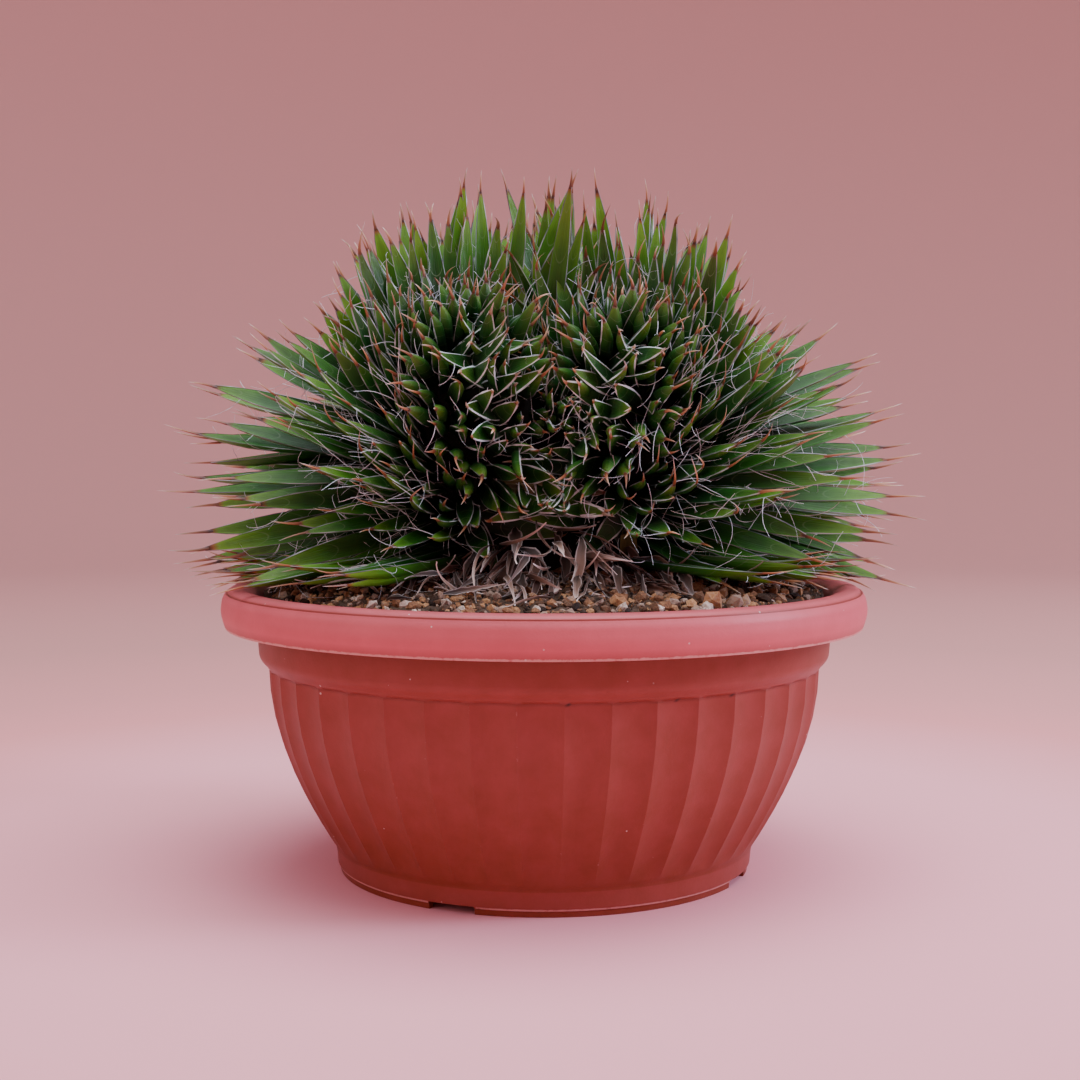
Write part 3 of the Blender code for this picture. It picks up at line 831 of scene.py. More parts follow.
    def on_core(self, point: Vector) -> Vector:
        """The point of the core's surface that lies in the same direction from its centre."""
        direction = (Vector(point) - self.centre).normalized()
        return self.centre + self.core_radius(direction) * direction

    def core_normal(self, point: Vector) -> Vector:
        """Outward normal of the core's surface, by differences.

        Args:
            point: a point of the surface.

        Returns:
            A unit vector.
        """
        slopes = []
        for i in range(3):
            ends = []
            for sign in (1.0, -1.0):
                moved = point.copy()
                moved[i] += sign * self.slope_step
                arm = moved - self.centre
                ends.append(arm.length - self.core_radius(arm.normalized()))
            slopes.append(ends[0] - ends[1])
        return Vector(slopes).normalized()

    def growing_line(self) -> Ring:
        """The growing line on the core's surface.

        Returns:
            A smooth row of points through its own few.
        """
        knots = [Vector(p) for p in self.line_points]
        knots = [2.0 * knots[0] - knots[1]] + knots + [2.0 * knots[-1] - knots[-2]]
        points = []
        for i in range(1, len(knots) - 2):
            a, b, c, d = knots[i - 1:i + 3]
            for k in range(self.line_steps):
                t = k / self.line_steps
                smooth = 2.0 * b + (c - a) * t
                smooth += (2.0 * a - 5.0 * b + 4.0 * c - d) * t * t
                smooth += (3.0 * b - a - 3.0 * c + d) * t ** 3
                points.append(self.on_core(0.5 * smooth))
        points.append(self.on_core(knots[-2]))
        return points

    def inside_loop(self, point: Vector, line: Ring) -> bool:
        """Whether a point is on the head's front, below the growing line and between its two legs.

        Args:
            point: a point of the core's surface.
            line: the growing line.

        Returns:
            Whether it is.
        """
        if point.y > self.front_limit:
            return False
        loop = [(p.x, p.z) for p in line]
        loop += [(loop[-1][0], 0.0), (loop[0][0], 0.0)]
        inside = False
        for (x1, z1), (x2, z2) in zip(loop, loop[1:] + loop[:1]):
            if (z1 > point.z) != (z2 > point.z):
                if point.x < x1 + (x2 - x1) * (point.z - z1) / (z2 - z1):
                    inside = not inside
        return inside

    def nearest_on_line(self, point: Vector, line: Ring) -> tuple[Vector, float]:
        """The growing line's point nearest to a point, and how far away it is."""
        nearest = min(line, key=lambda p: (p - point).length_squared)
        return nearest, (point - nearest).length

    def make_leaf(
        self, rng: random.Random, root: Vector, direction: Vector, face: Vector, size: Span, bend: Span
    ) -> Leaf:
        """A leaf with its face turned a little at random.

        Args:
            rng: the random draws.
            root: where it roots.
            direction: the way it grows.
            face: about where its face looks.
            size: its length and width.
            bend: the least and the most that it curls towards its face.

        Returns:
            The leaf.
        """
        looks = square_to(square_to(face, direction) + scatter(rng, self.face_spread), direction)
        return Leaf(root, direction, looks, size[0], size[1], rng.uniform(*bend))

    def grow_leaf(self, rng: random.Random, root: Vector, line: Ring) -> Leaf:
        """One leaf of the head: older leaves are longer and lean away from the growing line.

        Args:
            rng: the random draws.
            root: where it roots.
            line: the growing line.

        Returns:
            The leaf.
        """
        nearest, distance = self.nearest_on_line(root, line)
        normal = self.core_normal(root)
        away = square_to(root - nearest, normal)
        inner = self.inside_loop(root, line)
        if inner:
            age = ease(distance / self.growth_inner)
            length = self.shortest + (self.inner_longest - self.shortest) * age
            width = self.inner_width[0] + self.inner_width[1] * length
            direction = normal + self.inner_splay * age * away
        else:
            age = ease(distance / self.growth_outer)
            length = self.shortest + (self.longest - self.shortest) * age
            width = self.outer_width[0] + self.outer_width[1] * length
            crown = ease((root.z - self.crown_start) / self.crown_rise)
            front = ease(-root.y / self.front_depth)
            lift = self.side_lift + self.crown_lift * crown + self.front_lift * front * (1.0 - crown)
            splay = self.outer_splay * age * (1.0 - 0.5 * crown)
            direction = normal + splay * away + Vector((0.0, 0.0, lift))
        direction = (direction.normalized() + scatter(rng, self.direction_spread)).normalized()
        length *= rng.uniform(*self.length_spread)
        face = square_to(0.5 * normal - away, direction)
        if direction.z < self.flat_face and not inner:
            face += self.flat_face * square_to(UP, direction)
        leaf = self.make_leaf(rng, root, direction, face, (length, width), self.bend_spread)
        leaf.young = inner or age < self.young_age
        leaf.inner = inner and age > self.inner_age
        return leaf

    def lowest_row(self, rng: random.Random) -> list[Leaf]:
        """The lowest leaves: they start over the soil, sag over the rim and curl up at their tips.

        Args:
            rng: the random draws.

        Returns:
            The leaves.
        """
        leaves = []
        first = self.fringe_spread + self.fringe_side
        for k in range(int((math.pi - first) / self.row_step) + 1):
            for sign in (-1.0, 1.0):
                angle = sign * (first + k * self.row_step)
                height = self.row_height + rng.uniform(0.0, 0.002)
                root = around(angle, self.soil.stem_radius(angle), height)
                turned = angle + sign * self.row_turn * (k % 2) + rng.gauss(0.0, self.direction_spread)
                direction = around(turned, 1.0, self.row_fall).normalized()
                size = (rng.uniform(*self.row_length), self.row_width)
                leaves.append(self.make_leaf(rng, root, direction, UP, size, self.row_bend))
        return leaves

    def fringe_top(self, angle: float) -> float:
        """Height that the dried leaves keep to and the green ones stay over: highest at the front."""
        return self.fringe_low + self.fringe_rise * math.exp(-((angle / self.fringe_half) ** 2))

    def ground(self, x: float, y: float, over_fringe: bool) -> float:
        """Height of the top of whatever lies under a point: the rim, the soil or the dried fringe.

        Args:
            x: how far the point is to the right.
            y: how far back it is.
            over_fringe: whether the fringe counts.

        Returns:
            The height.
        """
        pot = self.soil.pot
        radius = math.hypot(x, y)
        angle = math.atan2(x, -y)
        if radius > pot.rim_radius + self.clearance:
            return 0.0
        if radius > pot.mouth() - self.clearance:
            return pot.height
        soil = self.soil.level(x, y) + self.soil.grit
        if over_fringe and radius < self.fringe_reach and abs(angle) < self.fringe_spread + self.fringe_side:
            return max(soil, self.fringe_top(angle))
        return soil

    def is_clear(self, leaf: Leaf) -> bool:
        """Whether a leaf passes over what lies under it.

        Args:
            leaf: the leaf.

        Returns:
            Whether it does, with its thickness and some room.
        """
        for step in range(3, 21):
            along = step / 20.0
            point = leaf.middle(along)
            thick = 0.30 * leaf.width * min(1.0, 3.2 * (1.0 - along))
            if point.z - thick < self.ground(point.x, point.y, True) + self.clearance:
                return False
        return True

    def fit_leaf(self, leaf: Leaf) -> None:
        """Raise a leaf until it clears the pot and the soil, and shorten it to the head's reach.

        Args:
            leaf: the leaf.
        """
        for _ in range(self.fit_rounds):
            if self.is_clear(leaf):
                break
            leaf.lean(UP * self.raise_step)
        for _ in range(self.fit_rounds):
            arm = leaf.middle(1.0) - self.reach_centre
            off = (math.atan2(arm.z, abs(arm.x)) - self.shoulder_angle) / self.shoulder_width
            limit = 1.0 - self.shoulder_depth * math.exp(-off * off)
            if sum((arm[i] / self.reach[i]) ** 2 for i in range(3)) <= limit * limit:
                break
            leaf.length *= self.shorten

    def keep_inside(self, leaf: Leaf, box: tuple[Vector, Vector]) -> None:
        """Shorten a leaf until its hooked tip stays inside the solid's box.

        Args:
            leaf: the leaf.
            box: the box's lowest and highest corners.
        """
        low, high = box
        for _ in range(self.fit_rounds):
            tip = leaf.middle(1.0)
            if all(low[i] + self.tip_room < tip[i] < high[i] - self.tip_room for i in range(3)):
                return
            leaf.length *= self.shorten

    def throw_roots(
        self, rng: random.Random, line: Ring, taken: Ring, tries: int, spacing: Span
    ) -> Ring:
        """Throw roots on the core and keep those with room round them.

        Args:
            rng: the random draws.
            line: the growing line.
            taken: roots that are there already.
            tries: how many are thrown.
            spacing: the room that a young and an old leaf need.

        Returns:
            The new roots.
        """
        kept = list(taken)
        for _ in range(tries):
            root = self.on_core(self.centre + random_direction(rng))
            angle = math.atan2(root.x, -root.y)
            lowest = self.roots_lowest
            if abs(angle) < self.fringe_spread + self.fringe_side:
                lowest = self.fringe_top(angle) + self.fringe_room
            if root.z < lowest:
                continue
            old = ease(self.nearest_on_line(root, line)[1] / self.growth_outer)
            room = spacing[0] + (spacing[1] - spacing[0]) * old
            if all((root - other).length_squared > room * room for other in kept):
                kept.append(root)
        return kept[len(taken):]

    def leaves(self) -> list[Leaf]:
        """All the leaves: those of the solid, and the smaller ones that fill in between them.

        Returns:
            The leaves, fitted and dressed.
        """
        line = self.growing_line()
        rng = random.Random(self.seed)
        grown = self.lowest_row(rng)
        roots = self.throw_roots(rng, line, [leaf.root for leaf in grown], self.root_tries, self.spacing)
        grown += [self.grow_leaf(rng, root, line) for root in roots]
        rng = random.Random(self.fill_seed)
        grown += self.filling_leaves(rng, line, grown)
        heart = self.on_core(self.whorl)
        for leaf in grown:
            if leaf.root.y < 0.0 and self.hides_whorl(leaf, heart):
                leaf.length *= self.whorl_yield[0]
                leaf.width *= self.whorl_yield[1]
        grown += [self.whorl_leaf(rng, k) for k in range(self.whorl_count)]
        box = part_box(Node.CREST.value)
        for leaf in grown:
            self.fit_leaf(leaf)
            self.dress(leaf, rng)
            self.keep_inside(leaf, box)
        for x, z in self.dead_near:
            inner = [leaf for leaf in grown if leaf.inner and leaf.root.y < 0.0]
            leaf = min(inner, key=lambda leaf: math.hypot(leaf.root.x - x, leaf.root.z - z))
            leaf.dry = self.dead
            leaf.root = leaf.root + self.core_normal(leaf.root) * self.dead_out
            leaf.length *= self.dead_longer
        return grown

    def filling_leaves(self, rng: random.Random, line: Ring, grown: list[Leaf]) -> list[Leaf]:
        """The leaves that the solid leaves out: between its own, in its lowest row and on its crown.

        Args:
            rng: the random draws.
            line: the growing line.
            grown: the solid's leaves.

        Returns:
            The new leaves.
        """
        roots = self.throw_roots(rng, line, [leaf.root for leaf in grown], self.fill_tries, self.fill_spacing)
        filling = [self.grow_leaf(rng, root, line) for root in roots]
        for leaf in filling:
            self.spread_leaf(leaf, line, rng)
        heart = self.on_core(self.whorl)
        large = [leaf.root for leaf in grown if leaf.inner]
        added = [
            leaf for leaf in filling
            if (leaf.root - heart).length > self.whorl_room
            and (not leaf.inner or all((leaf.root - other).length > self.fill_inner for other in large))
        ]
        for first, last, count in self.fill_rows:
            for k in range(count):
                angle = math.radians(first + (last - first) * (k + rng.uniform(0.2, 0.8)) / count)
                added.append(self.filling_row_leaf(rng, angle))
        return added + [self.crown_leaf(rng) for _ in range(self.crown_count)]

    def spread_leaf(self, leaf: Leaf, line: Ring, rng: random.Random) -> None:
        """Make a small filling leaf longer, and lean one inside the loop further from the growing line.

        Args:
            leaf: the leaf.
            line: the growing line.
            rng: the random draws.
        """
        leaf.length *= rng.uniform(*(self.fill_longer if leaf.young else self.fill_shorter))
        if leaf.inner:
            leaf.length *= self.fill_inner_length
            nearest = self.nearest_on_line(leaf.root, line)[0]
            leaf.lean(self.fill_splay * square_to(leaf.root - nearest, self.core_normal(leaf.root)))

    def hides_whorl(self, leaf: Leaf, heart: Vector) -> bool:
        """Whether a leaf of the front reaches over the whorl."""
        ahead = [leaf.middle(along) - heart for along in (0.5, 0.75, 1.0)]
        return any(math.hypot(arm.x, arm.z) < self.whorl_room for arm in ahead)

    def whorl_leaf(self, rng: random.Random, number: int) -> Leaf:
        """One of the newest leaves.

        Args:
            rng: the random draws.
            number: how many there are before it, from the middle of the whorl out.

        Returns:
            The leaf.
        """
        heart = self.on_core(self.whorl)
        normal = self.core_normal(heart)
        first = square_to(UP, normal)
        angle = self.whorl_turn * number + rng.uniform(-0.25, 0.25)
        share = (number + 0.5) / self.whorl_count
        out = first * math.cos(angle) + normal.cross(first) * math.sin(angle)
        rise = self.whorl_out + self.whorl_rise * (1.0 - share)
        root = heart + normal * rise + out * (self.whorl_radius[0] + self.whorl_radius[1] * share)
        direction = (normal + out * (self.whorl_splay[0] + self.whorl_splay[1] * share)).normalized()
        length = (self.whorl_length[0] + self.whorl_length[1] * share) * rng.uniform(0.9, 1.15)
        size = (length, self.whorl_width[0] + self.whorl_width[1] * share)
        leaf = self.make_leaf(rng, root, direction, normal - out, size, self.whorl_bend)
        leaf.young = leaf.inner = True
        return leaf

    def crown_leaf(self, rng: random.Random) -> Leaf:
        """One more long leaf that stands behind the crest's top.

        Args:
            rng: the random draws.

        Returns:
            The leaf.
        """
        root = self.on_core(self.centre + Vector((rng.uniform(-0.9, 0.9), rng.uniform(-0.05, 0.45), 1.0)))
        direction = (0.6 * self.core_normal(root) + UP + scatter(rng, self.crown_spread)).normalized()
        length = rng.uniform(*self.crown_length)
        width = self.crown_width * (self.outer_width[0] + self.outer_width[1] * length)
        face = Vector((0.0, -1.0, 0.2))
        return self.make_leaf(rng, root, direction, face, (length, width), self.bend_spread)

    def filling_row_leaf(self, rng: random.Random, angle: float) -> Leaf:
        """One more of the lowest leaves, between those of the row and a little over them.

        Args:
            rng: the random draws.
            angle: where it roots, from the front.

        Returns:
            The leaf.
        """
        root = around(angle, self.soil.stem_radius(angle), self.row_height + rng.uniform(0.001, 0.006))
        direction = around(angle + rng.gauss(0.0, self.fill_turn), 1.0, self.fill_fall).normalized()
        size = (rng.uniform(0.8, 1.0) * self.row_length[1], self.row_width * rng.uniform(0.9, 1.1))
        return self.make_leaf(rng, root, direction, UP, size, self.fill_bend)

    def dress(self, leaf: Leaf, rng: random.Random) -> None:
        """Give a leaf its own tone, dryness and hooked tip, and make it slimmer than the solid's.
        Upright old leaves get a lighter tone, painted light, and old leaves on the right flank a darker one,
        painted shade.

        Args:
            leaf: the leaf.
            rng: the random draws.
        """
        leaf.tone = rng.random()
        # Painted light on upright old leaves, painted shade on old leaves of the right flank
        if not leaf.young and leaf.direction.z > self.upright:
            leaf.tone = 0.5 + 0.5 * leaf.tone
        elif not leaf.young and leaf.root.x > self.right_side:
            leaf.tone *= self.right_painted_shade
        leaf.hook = rng.uniform(0.02, 0.16) if leaf.young else rng.uniform(0.0, 0.04)
        leaf.dry = rng.uniform(0.3, 1.0) if rng.random() < self.dry_share else rng.uniform(0.0, 0.2)
        if rng.random() < self.dead_share and not leaf.young:
            leaf.dry = self.dead
        if leaf.inner:
            leaf.width *= self.slim_inner * rng.uniform(0.85, 1.12)
            leaf.length *= rng.uniform(0.82, 1.08)
        elif leaf.young:
            leaf.width *= self.slim_young * rng.uniform(0.85, 1.15)
        else:
            leaf.width *= self.slim_old * rng.uniform(0.88, 1.10)


# The crest's pieces


class Blade(NamedTuple):
    """One leaf's green blade: its rings, their place values and the points of its two edges."""

    rings: list[Ring]
    places: list[Triple]
    edges: tuple[Ring, Ring]


@dataclass
class LeafDetail:
    """How finely a leaf is cut: its stations, its section and its horny parts."""

    stations: int = 12
    young_stations: int = 9
    top_shares: tuple[float, ...] = (-1.0, -0.55, 0.0, 0.55, 1.0)
    under_shares: tuple[float, ...] = (0.74, 0.30, -0.30, -0.74)
    # Widths over the widest: at the root, where along it is widest, at the spine, and how fast it tapers
    young_taper: tuple[float, float, float, float] = (0.72, 0.38, 0.17, 1.6)
    old_taper: tuple[float, float, float, float] = (0.88, 0.44, 0.14, 2.2)
    depth: float = 0.47
    hollow: Span = (0.34, 0.04)
    sink: float = 0.0092
    sway: float = 0.035
    core_sink: float = 0.004
    # Real margins are about 0.1 mm thick: they are drawn thicker, so that they show
    margin_radius: float = 0.00015
    young_margin_radius: float = 0.00019
    inner_margin_radius: float = 0.00024
    spine_sides: int = 5
    spine_shape: tuple[Span, ...] = ((-0.10, 1.0), (0.0, 1.22), (0.18, 0.98), (0.42, 0.72), (0.72, 0.44))
    fibre_radius: Span = (0.00008, 0.00016)
    bundles: tuple[Span, ...] = (
        (-0.052, 0.178), (-0.058, 0.160), (-0.046, 0.150), (0.050, 0.186), (0.060, 0.165), (0.055, 0.146),
        (0.034, 0.170),
    )
    bundle_strands: int = 9
    bundle_length: Span = (0.010, 0.028)
    bundle_curl: float = 45.0
    shortest_curl: float = 0.005
    longest_curl: Span = (0.015, 0.027)
    curl_rate: Span = (20.0, 190.0)
    stub_length: Span = (0.0012, 0.0035)
    stub_curl: float = 200.0
    # The stem that joins the core to the soil
    stem_sides: int = 48
    stem_heights: Span = (0.112, 0.128)
    margin_seed: int = 301
    spine_seed: int = 302
    fibre_seed: int = 303

    def spine_length(self, leaf: Leaf) -> float:
        """Length of a leaf's end spine."""
        if leaf.inner:
            return 0.13 * leaf.length
        return min(0.25 * leaf.length, 0.0045 + (0.105 - 0.060 * max(leaf.direction.z, 0.0)) * leaf.length)

    def blade_end(self, leaf: Leaf) -> float:
        """Where along a leaf its green blade ends and its spine starts."""
        return 1.0 - self.spine_length(leaf) / leaf.length

    def width_share(self, leaf: Leaf, part: float) -> float:
        """The blade's width over its widest.

        Args:
            leaf: the leaf.
            part: 0 at its root and 1 at its spine.

        Returns:
            The share.
        """
        base, widest, tip, fall = self.young_taper if leaf.young else self.old_taper
        if part < widest:
            return base + (1.0 - base) * math.sin(0.5 * math.pi * max(part, 0.0) / widest)
        beyond = (part - widest) / (1.0 - widest)
        return tip + (1.0 - tip) * (1.0 - beyond ** fall)


@dataclass
class CrestPieces:
    """The crest's visible pieces: core, blades, margins, spines and fibres."""

    growth: CrestGrowth
    detail: LeafDetail
    leaves: list[Leaf] = field(init=False)
    box: tuple[Vector, Vector] = field(init=False)

    def __post_init__(self) -> None:
        """Grow the leaves and read the box of the solid that they stand for."""
        self.leaves = self.growth.leaves()
        self.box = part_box(Node.CREST.value)
        log.info("leaves: %d", len(self.leaves))

    def piece(self, batch: Batch, name: str, finish: bpy.types.Material, sharp: float) -> None:
        """Make a piece that stands for the crest's solid."""
        batch.piece(name, finish, Node.CREST, Slot.LEAF, sharp)

    def inside(self, point: Vector, room: float) -> Vector:
        """The point, moved so that it is inside the solid's box by some room."""
        low, high = self.box
        return Vector([clamp(point[i], low[i] + room, high[i] - room) for i in range(3)])

    def middle(self, leaf: Leaf, along: float) -> Vector:
        """A point of a leaf's middle with a slight sideways curve that no two leaves share."""
        swing = math.sin(leaf.tone * 40.0) * self.detail.sway * leaf.length
        return leaf.middle(along) + leaf.side() * (swing * along * along)

    def core(self, finish: bpy.types.Material) -> None:
        """Make the core and the stem: a near-black body, painted shade between the leaf bases.

        Args:
            finish: their material.
        """
        bm = bmesh.new()
        bmesh.ops.create_icosphere(bm, subdivisions=5, radius=1.0)
        for vert in bm.verts:
            direction = vert.co.normalized()
            reach = self.growth.core_radius(direction) - self.detail.core_sink
            vert.co = self.growth.centre + direction * (reach + 0.0012 * noise.noise(direction * 14.0))
        bmesh.ops.delete(bm, geom=[v for v in bm.verts if v.co.z < 0.1], context="VERTS")
        bm.verts.index_update()
        batch = Batch([v.co.copy() for v in bm.verts], [tuple(v.index for v in f.verts) for f in bm.faces])
        bm.free()
        tone = (0.1, 0.0, 0.3)
        batch.place = [tone] * len(batch.points)
        soil = self.growth.soil
        sides = self.detail.stem_sides
        angles = [FULL_TURN * k / sides for k in range(sides)]
        rings = [
            [around(angle, soil.stem_radius(angle) - 0.001, height) for angle in angles]
            for height in self.detail.stem_heights
        ]
        batch.add_tube(rings, [tone] * 2)
        self.piece(batch, "crest_core", finish, 60.0)

    def blade(self, leaf: Leaf) -> Blade:
        """Cut a leaf's blade: hollow above, keeled below.

        Args:
            leaf: the leaf.

        Returns:
            The blade.
        """
        detail = self.detail
        steps = detail.young_stations if leaf.young else detail.stations
        end = detail.blade_end(leaf)
        side = leaf.side().normalized()
        rings, places = [], []
        for k in range(steps):
            part = k / (steps - 1)
            middle = self.middle(leaf, part * end)
            if k == 0:
                middle = leaf.root - leaf.direction * detail.sink
            share = detail.width_share(leaf, part)
            half = 0.5 * leaf.width * share
            keel = detail.depth * leaf.width * min(1.0, 1.25 * share)
            hollow = detail.hollow[0] * (1.0 - part) - detail.hollow[1]
            age = part * (0.985 + 0.055 * leaf.dry * part ** 3)
            if leaf.dry > 1.0:
                age = 0.965 + 0.015 * part
            heights = [(x, 0.2 * keel - hollow * keel * (1.0 - x * x)) for x in detail.top_shares]
            heights += [
                (x, 0.2 * keel - keel * (1.0 - abs(x) ** 2.3) ** 0.8) for x in detail.under_shares
            ]
            rings.append([middle + side * (half * across) + leaf.face * rise for across, rise in heights])
            places += [(age, across, leaf.tone) for across, _rise in heights]
        right = len(detail.top_shares) - 1
        return Blade(rings, places, ([ring[0] for ring in rings], [ring[right] for ring in rings]))

    def blades(self, old: bpy.types.Material, young: bpy.types.Material) -> None:
        """Make the green blades, the old ones and the young ones as two pieces.

        Args:
            old: the material of the old ones.
            young: the material of the young ones.
        """
        for name, finish, is_young in (("old_blades", old, False), ("young_blades", young, True)):
            batch = Batch()
            for leaf in self.leaves:
                if leaf.young == is_young:
                    blade = self.blade(leaf)
                    batch.add_tube(blade.rings, blade.places)
            self.piece(batch, name, finish, 50.0)

    def margins(self, finish: bpy.types.Material) -> None:
        """Make the horny margins: a fine raised cord along both edges of each blade.

        Args:
            finish: their material.
        """
        batch = Batch()
        detail = self.detail
        rng = random.Random(detail.margin_seed)
        for leaf in self.leaves:
            thick = detail.young_margin_radius if leaf.young else detail.margin_radius
            thick = detail.inner_margin_radius if leaf.inner else thick
            pale = 0.85 if leaf.inner else 0.18 + 0.1 * leaf.young
            side = leaf.side().normalized()
            for edge, sign in zip(self.blade(leaf).edges, (-1.0, 1.0)):
                rings, places = [], []
                for k, point in enumerate(edge[1:]):
                    radius = thick * rng.uniform(0.2, 1.5)
                    at = point + side * (sign * 0.4 * radius)
                    out = side * (sign * radius)
                    rings.append([at + out, at + leaf.face * radius - out, at - leaf.face * radius - out])
                    places.append(((k + 1) / (len(edge) - 1), 0.0, clamp(rng.gauss(pale, 0.22))))
                batch.add_tube(rings, places, caps=1)
        self.piece(batch, "leaf_margins", finish, 80.0)

    def spines(self, finish: bpy.types.Material) -> None:
        """Make the end spines: hard needles, straight on old leaves and hooked on young ones.

        Args:
            finish: their material.
        """
        batch = Batch()
        rng = random.Random(self.detail.spine_seed)
        sides = self.detail.spine_sides
        for leaf in self.leaves:
            start = self.middle(leaf, self.detail.blade_end(leaf))
            ahead = self.middle(leaf, 1.0) - start
            length = ahead.length
            ahead.normalize()
            side = ahead.cross(leaf.face).normalized()
            hook = scatter(rng, 0.42 if leaf.young else 0.10) + leaf.face * (0.25 if leaf.young else 0.03)
            width = 0.5 * leaf.width * self.detail.width_share(leaf, 1.0)
            tone = rng.random()
            pale = rng.uniform(0.0, 0.8) if leaf.inner else rng.uniform(0.0, 0.25)
            rings, places = [], []
            for part, share in self.detail.spine_shape:
                at = start + ahead * (length * part) + hook * (length * 0.8 * max(part, 0.0) ** 2)
                at = self.inside(at, 0.0012)
                turns = [FULL_TURN * i / sides for i in range(sides)]
                offs = [side * math.cos(turn) + leaf.face * (0.75 * math.sin(turn)) for turn in turns]
                rings.append([at + off * (width * share) for off in offs])
                places += [(pale + (1.0 - pale) * max(part, 0.0), 0.0, tone)] * sides
            tip = self.inside(start + ahead * length + hook * (length * 0.8), 0.0004)
            batch.add_tube(rings, places + [(1.0, 0.0, tone)], tip)
        self.piece(batch, "leaf_spines", finish, 70.0)

    def fibres(self, finish: bpy.types.Material) -> None:
        """Make the fibres that peel off the margins: fine curls, a few on every leaf, in two pieces.

        Args:
            finish: their material.
        """
        rng = random.Random(self.detail.fibre_seed)
        for name, is_young in (("old_fibres", False), ("young_fibres", True)):
            batch = Batch()
            for leaf in self.leaves:
                if leaf.young == is_young:
                    self.add_fibres(batch, rng, leaf)
            for x, z in self.detail.bundles:
                self.add_bundle(batch, rng, x, z, is_young)
            self.piece(batch, name, finish, 80.0)

    def add_bundle(self, batch: Batch, rng: random.Random, x: float, z: float, young: bool) -> None:
        """Add a bundle of long, nearly straight fibres on the two front leaves nearest to a point.

        Args:
            batch: the piece that they go into.
            rng: the random draws.
            x: how far the point is to the right.
            z: how high it is.
            young: whether the leaves are young ones.
        """
        near = [leaf for leaf in self.leaves if leaf.young == young and leaf.middle(0.5).y < -0.02]
        near.sort(key=lambda leaf: math.hypot(leaf.middle(0.5).x - x, leaf.middle(0.5).z - z))
        detail = self.detail
        for leaf in near[:2]:
            edges = self.blade(leaf).edges
            for _ in range(detail.bundle_strands):
                at = rng.choice(edges)[rng.randrange(3, len(edges[0]) - 1)]
                heading = (leaf.direction * rng.choice((-1.0, 0.9)) + scatter(rng, 0.22)).normalized()
                turn = random_direction(rng)
                curl = rng.uniform(-detail.bundle_curl, detail.bundle_curl)
                self.add_strand(batch, rng, at, heading, turn, curl, 8, rng.uniform(*detail.bundle_length))

    def add_fibres(self, batch: Batch, rng: random.Random, leaf: Leaf) -> None:
        """Add one leaf's fibres: a few long curls, and short stubs where others broke off.

        Args:
            batch: the piece that they go into.
            rng: the random draws.
            leaf: the leaf.
        """
        edges = self.blade(leaf).edges
        detail = self.detail
        longest = detail.longest_curl[0 if leaf.young else 1]
        curls = rng.choice((0, 0, 1, 1, 2)) if leaf.young else rng.choice((2, 3, 4, 5))
        if leaf.direction.z > 0.7 and not leaf.young:
            curls = rng.choice((0, 1, 2))
        stubs = rng.choice((1, 2) if leaf.inner else (0, 0, 1))
        for is_curl in [True] * curls + [False] * stubs:
            sign = rng.choice((-1.0, 1.0))
            last = len(edges[0]) if leaf.young else len(edges[0]) - 2
            at = edges[int(sign > 0.0)][rng.randrange(2, last)]
            out = leaf.side().normalized() * sign
            heading = (out + leaf.direction * rng.uniform(-0.2, 1.3) + scatter(rng, 0.45)).normalized()
            turn = random_direction(rng)
            if is_curl:
                curl = rng.uniform(*detail.curl_rate) * rng.choice((-1.0, 1.0))
                steps = rng.randrange(7, 12)
                reach = rng.uniform(detail.shortest_curl, longest)
            else:
                curl = rng.uniform(-detail.stub_curl, detail.stub_curl)
                steps = 3
                reach = rng.uniform(*detail.stub_length)
            self.add_strand(batch, rng, at, heading, turn, curl, steps, reach)

    def add_strand(
        self, batch: Batch, rng: random.Random, start: Vector, heading: Vector, turn: Vector,
        curl: float, steps: int, reach: float,
    ) -> None:
        """Add one curling strand, three-sided and thinner to its end.

        Args:
            batch: the piece that it goes into.
            rng: the random draws.
            start: where it starts.
            heading: the way that it starts.
            turn: the axis that it curls round.
            curl: how fast it curls, in radians a metre.
            steps: how many stretches it has.
            reach: how long it is.
        """
        radius = rng.uniform(*self.detail.fibre_radius)
        step = reach / steps
        at = start.copy()
        tone = rng.random()
        rings, places = [], []
        for k in range(steps + 1):
            part = k / steps
            square = heading.orthogonal().normalized()
            other = heading.cross(square).normalized()
            thick = radius * (1.0 - 0.6 * part)
            low = at - square * (0.5 * thick)
            rings.append([at + square * thick, low + other * (0.87 * thick), low - other * (0.87 * thick)])
            places.append((part, 0.0, tone))
            heading = Matrix.Rotation(curl * step, 3, turn) @ heading
            heading = (heading + scatter(rng, 0.06)).normalized()
            at = at + heading * step
            at.z = max(at.z, self.growth.ground(at.x, at.y, False) + 0.0004)
            at = self.inside(at, 0.0004)
        batch.add_tube(rings, places)


# The dead leaves under its front


